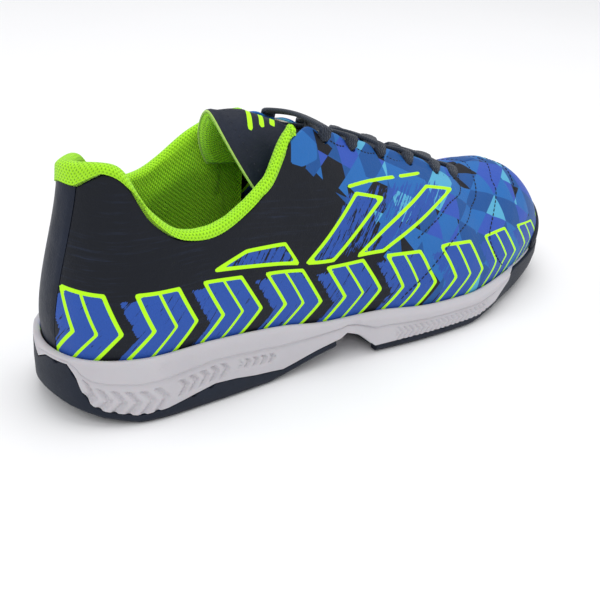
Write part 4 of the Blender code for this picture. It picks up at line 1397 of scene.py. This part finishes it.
def collar_section(k):
    """One closed section of the collar's cover, from the upper's edge over the roll and down inside."""
    edge = collar_edge(k) + 0.006
    roll = level_below_top(k, ROLL_BELOW_TOP)
    down = np.linspace(roll - 0.06, 0.05, 22)
    outside = np.linspace(edge, roll, 4)[:3]
    faces = []
    for depth in (0.0, COLLAR_SKIN):
        inside = [layer(float(k), v, collar_depth(v) - depth) for v in down]
        faces.append([layer(k, v, depth) for v in outside] + roll_arc(k, ROLL_RADIUS - depth, 13) + inside)
    return np.array(faces[0] + faces[1][::-1])


CLOTH_FRAMES = 20
CLOTH_SHRINK = -0.02
COLLAR_PRESSURE = 2.0
PAD_PRESSURE = 0.6
PAD_CAP = 0.3


def puff_up(piece, pressure, cap):
    """Blows the piece up a little as cloth and keeps the result: no point goes inwards or far.

    cap is how far in mm, as one number or one for each point.
    """
    scene = bpy.context.scene
    rest = np.array([v.co for v in piece.data.vertices])
    cloth = piece.modifiers.new("cloth", "CLOTH")
    cloth.settings.use_pressure = True
    cloth.settings.uniform_pressure_force = pressure
    cloth.settings.shrink_min = CLOTH_SHRINK
    cloth.settings.effector_weights.gravity = 0
    cloth.settings.quality = 5
    cloth.point_cache.frame_start = 1
    cloth.point_cache.frame_end = CLOTH_FRAMES
    for number in range(1, CLOTH_FRAMES + 1):
        scene.frame_set(number)
    graph = bpy.context.evaluated_depsgraph_get()
    evaluated = piece.evaluated_get(graph)
    moved = np.array([v.co for v in evaluated.data.vertices])
    piece.modifiers.remove(cloth)
    normals = np.array([v.normal for v in piece.data.vertices])
    way = moved - rest
    way = way - normals * np.minimum(0, (way * normals).sum(1, keepdims=True))
    length = np.linalg.norm(way, axis=1, keepdims=True)
    way = way * np.minimum(1, np.reshape(cap, (-1, 1)) * MM / (length + 1e-9))
    piece.data.vertices.foreach_set("co", (rest + way).ravel())
    piece.data.update()
    scene.frame_set(1)


def make_collar(mesh_cloth):
    """The lining from the upper's edge over the roll and down inside, with coordinates for its knit."""
    columns = np.linspace(-COLLAR_END, COLLAR_END, 150)
    sections = [collar_section(k % COLUMNS) for k in columns]
    run = running_length(surface(columns % COLUMNS, np.full(len(columns), 0.8)))
    flat = []
    for section, along in zip(sections, run):
        half = len(section) // 2 + 1
        round_it = running_length(np.vstack([section[:half], section[: half - 1 : -1]]))
        flat.append(np.stack([0 * round_it + along, round_it, 0 * round_it], -1))
    fields = {"flat": np.vstack(flat)}
    collar = loft("collar_mesh", sections, mesh_cloth, "lime_mesh", angle=60, fields=fields)
    # The lower lining stays thin, to leave the insole's heel room to lift.
    puff_up(collar, COLLAR_PRESSURE, smoothstep(np.vstack(sections)[:, 2], 44, 60))
    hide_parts("collar_lining")


# ---------------------------------------------------------------- tongue


def tongue_surface(along, across):
    """The tongue's outer face: an arch that is peaked at its top edge and flat at its base."""
    table = np.array(TONGUE, float)
    at = along * (len(table) - 1)
    x, z, half, drop, angle = (np.interp(at, range(len(table)), table[:, i]) for i in range(5))
    turn = np.radians(angle)
    swept = across * turn
    arch = (1 - np.cos(swept)) / (1 - np.cos(turn))
    fold = (np.hypot(across, 0.2) - 0.2) / (np.hypot(1, 0.2) - 0.2)
    peak = np.clip(1 - along / TONGUE_PEAK_END, 0, 1)
    y = half * np.sin(swept) / np.sin(turn) + TONGUE_PEAK_SHIFT * peak * (1 - across**2)
    lean = TONGUE_LEAN * across**2 * (1 - along)
    return np.stack([x + lean, y, z - drop * (arch + peak * (fold - arch))], -1)


def tongue_layer(along, across, depth):
    step = 0.03
    a = tongue_surface(along + step, across) - tongue_surface(along - step, across)
    b = tongue_surface(along, across + step) - tongue_surface(along, across - step)
    return tongue_surface(along, across) - unit(np.cross(a, b)) * np.asarray(depth)[..., None]


def make_tongue(leather, foam, mesh_cloth, edge, dark):
    """Three layers of the tongue, the raw mesh edge between them and the stitch line round it."""
    along, across = np.meshgrid(np.linspace(0, 1, 90), np.linspace(-1, 1, 61), indexing="ij")
    points = tongue_surface(along, across)
    width = running_length(points)
    from_edge = np.minimum(width, width[:, -1:] - width)
    from_top = running_length(points.transpose(1, 0, 2)).T
    inset = np.minimum(from_edge, from_top)
    puff = 0.8 * smoothstep(inset, 5, 12) * (1 - smoothstep(along, 0.35, 0.6))
    puff = puff - 0.45 * np.exp(-(((inset - SEAM_INSET) / 0.8) ** 2))
    rounding = 0.4 * (1 - smoothstep(inset, 0, 0.9))
    middle = width - width[:, -1:] / 2
    bars = []
    for start, half in TONGUE_BARS:
        bars.append(line_distance(from_top, middle, [(start, -half), (start + 9, half)]))
    lime = np.concatenate([1.0 - np.min(bars, axis=0).ravel()] * 2)
    faces = tongue_layer(along, across, rounding - puff), tongue_layer(along, across, TONGUE_SKIN)
    skin = shell("tongue_skin", *faces, leather, "plain_leather", body="tongue", fields={"lime": lime})
    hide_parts("tongue_shell")
    low = TONGUE_SKIN + GAP
    a, c = np.meshgrid(np.linspace(0.03, 1, 60), np.linspace(-0.9, 0.9, 41), indexing="ij")
    faces = tongue_layer(a, c, low), tongue_layer(a, c, low + TONGUE_FOAM)
    pad = shell("tongue_padding", *faces, foam, "soft_foam", body="tongue")
    puff_up(pad, PAD_PRESSURE, PAD_CAP)
    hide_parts("tongue_foam")
    # The mesh behind the foam wraps its edge and comes up to the skin there.
    rise = TONGUE_FOAM + 2 * GAP - 0.25
    low = TONGUE_SKIN + TONGUE_FOAM + 2 * GAP - rise * (1 - smoothstep(inset, 0.2, 2.4))
    faces = tongue_layer(along, across, low), tongue_layer(along, across, low + TONGUE_SKIN)
    flat = np.stack([width, from_top, 0 * width], -1).reshape(-1, 3)
    fields = {"flat": np.vstack([flat, flat])}
    back = shell("tongue_mesh", *faces, mesh_cloth, "lime_mesh", body="tongue", fields=fields)
    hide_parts("tongue_lining")
    # Raw edge of the mesh just under the skin, round the two sides and the top.
    ring_across = np.concatenate([np.full(60, -1.0), np.linspace(-1, 1, 40), np.full(60, 1.0)])
    ring_along = np.concatenate([np.linspace(0.75, 0.0, 60), np.zeros(40), np.linspace(0.0, 0.75, 60)])
    route = even_route(tongue_layer(ring_along, ring_across, TONGUE_SKIN + 0.15), 1.0)
    points, faces = tube_part(route, 0.55, 8)
    new_piece("tongue_raw_edge", points, faces, edge, "lime_mesh", body="tongue", angle=80)
    make_tongue_stitches(along[:, 0], from_edge.max(1), dark)


def make_tongue_stitches(along, half_width, dark):
    """The tongue's stitch line, parallel to its edge: up one side, across below the top and down."""
    a = np.concatenate([np.linspace(0.62, 0.05, 60), np.full(40, 0.045), np.linspace(0.05, 0.62, 60)])
    side = 1 - SEAM_INSET / np.interp(a, along, half_width)
    c = np.concatenate([-side[:60], np.linspace(-side[60], side[60], 40), side[100:]])
    seam = tongue_layer(a, c, 0.3)
    line = even_route(np.hstack([seam, tongue_layer(a, c, -0.7) - seam]), 1.0)
    points, faces = join_parts(stitch_parts(line[:, :3], unit(line[:, 3:]), 2.2, 1.0, 0.35))
    new_piece("tongue_stitches", points, faces, dark, "plain_leather", body="tongue", angle=80)


def tube_part(route, radius, sides):
    """A round tube along a route, with closed ends."""
    along = frames_along(route)
    up = unit(np.cross(along, [0.3, 0.9, 0.2]))
    across = np.cross(along, up)
    angles = (np.arange(sides) * math.tau / sides)[:, None]
    points = route[:, None] + radius * (np.cos(angles) * up[:, None] + np.sin(angles) * across[:, None])
    return points.reshape(-1, 3), tube_faces(len(route), sides)


# ---------------------------------------------------------------- laces


LACE_WIDTH = 6.6
LACE_THICK = 2.0
LACE_SIDES = 20
LACE_STEP = 0.9
LACE_TOP_BOW = 2.0
LACE_LIFTS = (1.4, -1.2)
LACE_TAIL = [(209.5, 15.5, 52.5, 4.5), (218, 15.5, 50.5, 2.6)]
# Through an eyelet: rise above its centre, depth below the surface and the lace's width there.
EYELET_STOPS = [(2.2, -1.25, LACE_WIDTH), (0.3, -0.7, 5.4), (0, 1.0, 4.4), (0, 3.0, 4.6)]
SHOE_SLOPE = np.array([0.93, 0.0, -0.36])


def lace_stops(start):
    """Stops of half the lace with its width at each: x, y, z, width.

    start is the side it enters first: -1 outer, 1 inner. It runs under that edge, over the
    tongue, over the other edge and into the next eyelet there.
    """
    side = start
    stops = []
    for row, k in enumerate(EYELETS):
        here = k if side < 0 else COLUMNS - k
        level = float(level_below_top(here, EYELET_IN))
        length = float(meridian_length(here))
        for rise, depth, width in EYELET_STOPS:
            stops.append([*layer(here, level + rise / length, depth), width])
        stops.append([*layer(here, level + 0.01, 5.1), 5.4])
        if row == len(EYELETS) - 1:
            break
        following = EYELETS[row + 1]
        there = COLUMNS - following if side < 0 else following
        stops.append([*layer(here, 0.97, 5.5), LACE_WIDTH])
        over = (surface(here, 1.0) + surface(there, 1.0)) / 2
        lift = LACE_LIFTS[(side < 0) != (row % 2 == 0)]
        stops.append([*(over + np.array([0, 0, lift])), LACE_WIDTH])
        stops.append([*layer(there, 0.985, -1.7), LACE_WIDTH])
        side = -side
    y_side = np.sign(surface(here, level)[1])
    return stops + [[x, y_side * y, z, width] for x, y, z, width in LACE_TAIL]


def strap_part(line):
    """A flat lace along a line of points with widths; returns points, faces and its own coordinates."""
    route, width = line[:, :3], line[:, 3]
    along = frames_along(route)
    wide = unit(SHOE_SLOPE - (along @ SHOE_SLOPE)[:, None] * along)
    up = np.cross(along, wide)
    angles = np.arange(LACE_SIDES) * math.tau / LACE_SIDES
    x = np.sign(np.cos(angles)) * np.abs(np.cos(angles)) ** 0.75
    y = np.sign(np.sin(angles)) * np.abs(np.sin(angles)) ** 0.55
    y = y * (1 + 0.1 * np.cos(x * math.pi * 4.5))
    points = route[:, None] + 0.5 * width[:, None, None] * x[None, :, None] * wide[:, None]
    points = points + 0.5 * LACE_THICK * y[None, :, None] * up[:, None]
    run = running_length(route)
    flat = np.zeros(points.shape)
    flat[..., 0] = run[:, None]
    flat[..., 1] = 0.5 * LACE_WIDTH * x
    return points.reshape(-1, 3), tube_faces(len(route), LACE_SIDES), flat.reshape(-1, 3)


def make_laces(cord):
    outer = lace_stops(-1)
    inner = lace_stops(1)
    edges = [[*layer(k, 0.985, -1.7), LACE_WIDTH] for k in (EYELETS[0], COLUMNS - EYELETS[0])]
    middle = [(a + b) / 2 for a, b in zip(*edges)]
    middle[2] += LACE_TOP_BOW
    stops = outer[::-1] + [edges[0], middle, edges[1]] + inner
    line = smooth_route(stops, 10)
    run = running_length(line[:, :3])
    line = sampled(line, run, np.linspace(0, run[-1], int(run[-1] / LACE_STEP)))
    points, faces, flat = strap_part(line)
    lace = new_piece("lace_flat", points, faces, cord, "lace_cord", fields={"flat": flat}, angle=60)
    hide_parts("lace")


# ---------------------------------------------------------------- CAD pieces kept


def dress_kept_nodes(foam):
    """The hidden pieces keep their CAD shape and get a finished material."""
    board = srgb(176, 158, 128), srgb(208, 194, 168), (0.5, 5, 0.65), (0.77, 0.95), 0.2
    steel = srgb(150, 152, 156), srgb(190, 192, 196), (0.4, 5, 0.65), (0.27, 0.45), 0.03
    stiff = srgb(188, 184, 170), srgb(214, 210, 198), (0.3, 5, 0.65), (0.52, 0.7), 0.1
    tip = srgb(24, 27, 34), srgb(40, 44, 54), (0.4, 5, 0.65), (0.2, 0.38), 0.03
    stiffeners = ("heel_counter", "toe_puff", "eyestay_backer_lateral", "eyestay_backer_medial")
    finishes = (
        (mottled("fibre_board", *board), ("lasting_board",)),
        (mottled("shank_steel", *steel, Metallic=1.0), ("shank",)),
        (mottled("stiffener", *stiff), stiffeners),
        (mottled("lace_tip", *tip), ("aglet_lateral", "aglet_medial")),
        (foam, ("collar_foam", "sockliner_foam")),
    )
    for material, names in finishes:
        for name in names:
            for material_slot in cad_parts[name].material_slots:
                material_slot.material = material


# ---------------------------------------------------------------- the scene


def main():
    make_camera()
    fabric = printed_leather()
    plain = plain_leather()
    marked = plain_leather("marked_leather", lime=True)
    lime = lime_mesh()
    lining = woven_cloth("lining_cloth", srgb(16, 18, 24), srgb(44, 48, 60))
    foam = soft_foam()
    edge_look = srgb(132, 190, 60), srgb(205, 235, 130), (1.4, 4, 0.7), (0.8, 0.98), 0.25
    cut_edge = mottled("pale_edge", *edge_look, Specular_IOR_Level=0.2, Sheen_Weight=0.3)
    thread_look = srgb(14, 17, 26), srgb(34, 40, 56), (4.0, 2), (0.5, 0.75), 0.06
    dark_thread = mottled("dark_thread", *thread_look, Specular_IOR_Level=0.3)
    make_upper(fabric)
    make_backstay(plain)
    make_upper_stitches(dark_thread)
    make_midsole(midsole_foam())
    sole_rubber = rubber()
    make_outsoles(sole_rubber)
    make_toe_bumper(sole_rubber)
    make_sockliner(lining)
    make_vamp_lining(lining)
    make_collar(lime)
    make_tongue(marked, foam, lime, cut_edge, dark_thread)
    make_laces(lace_cord())
    dress_kept_nodes(foam)
    make_stage()


main()
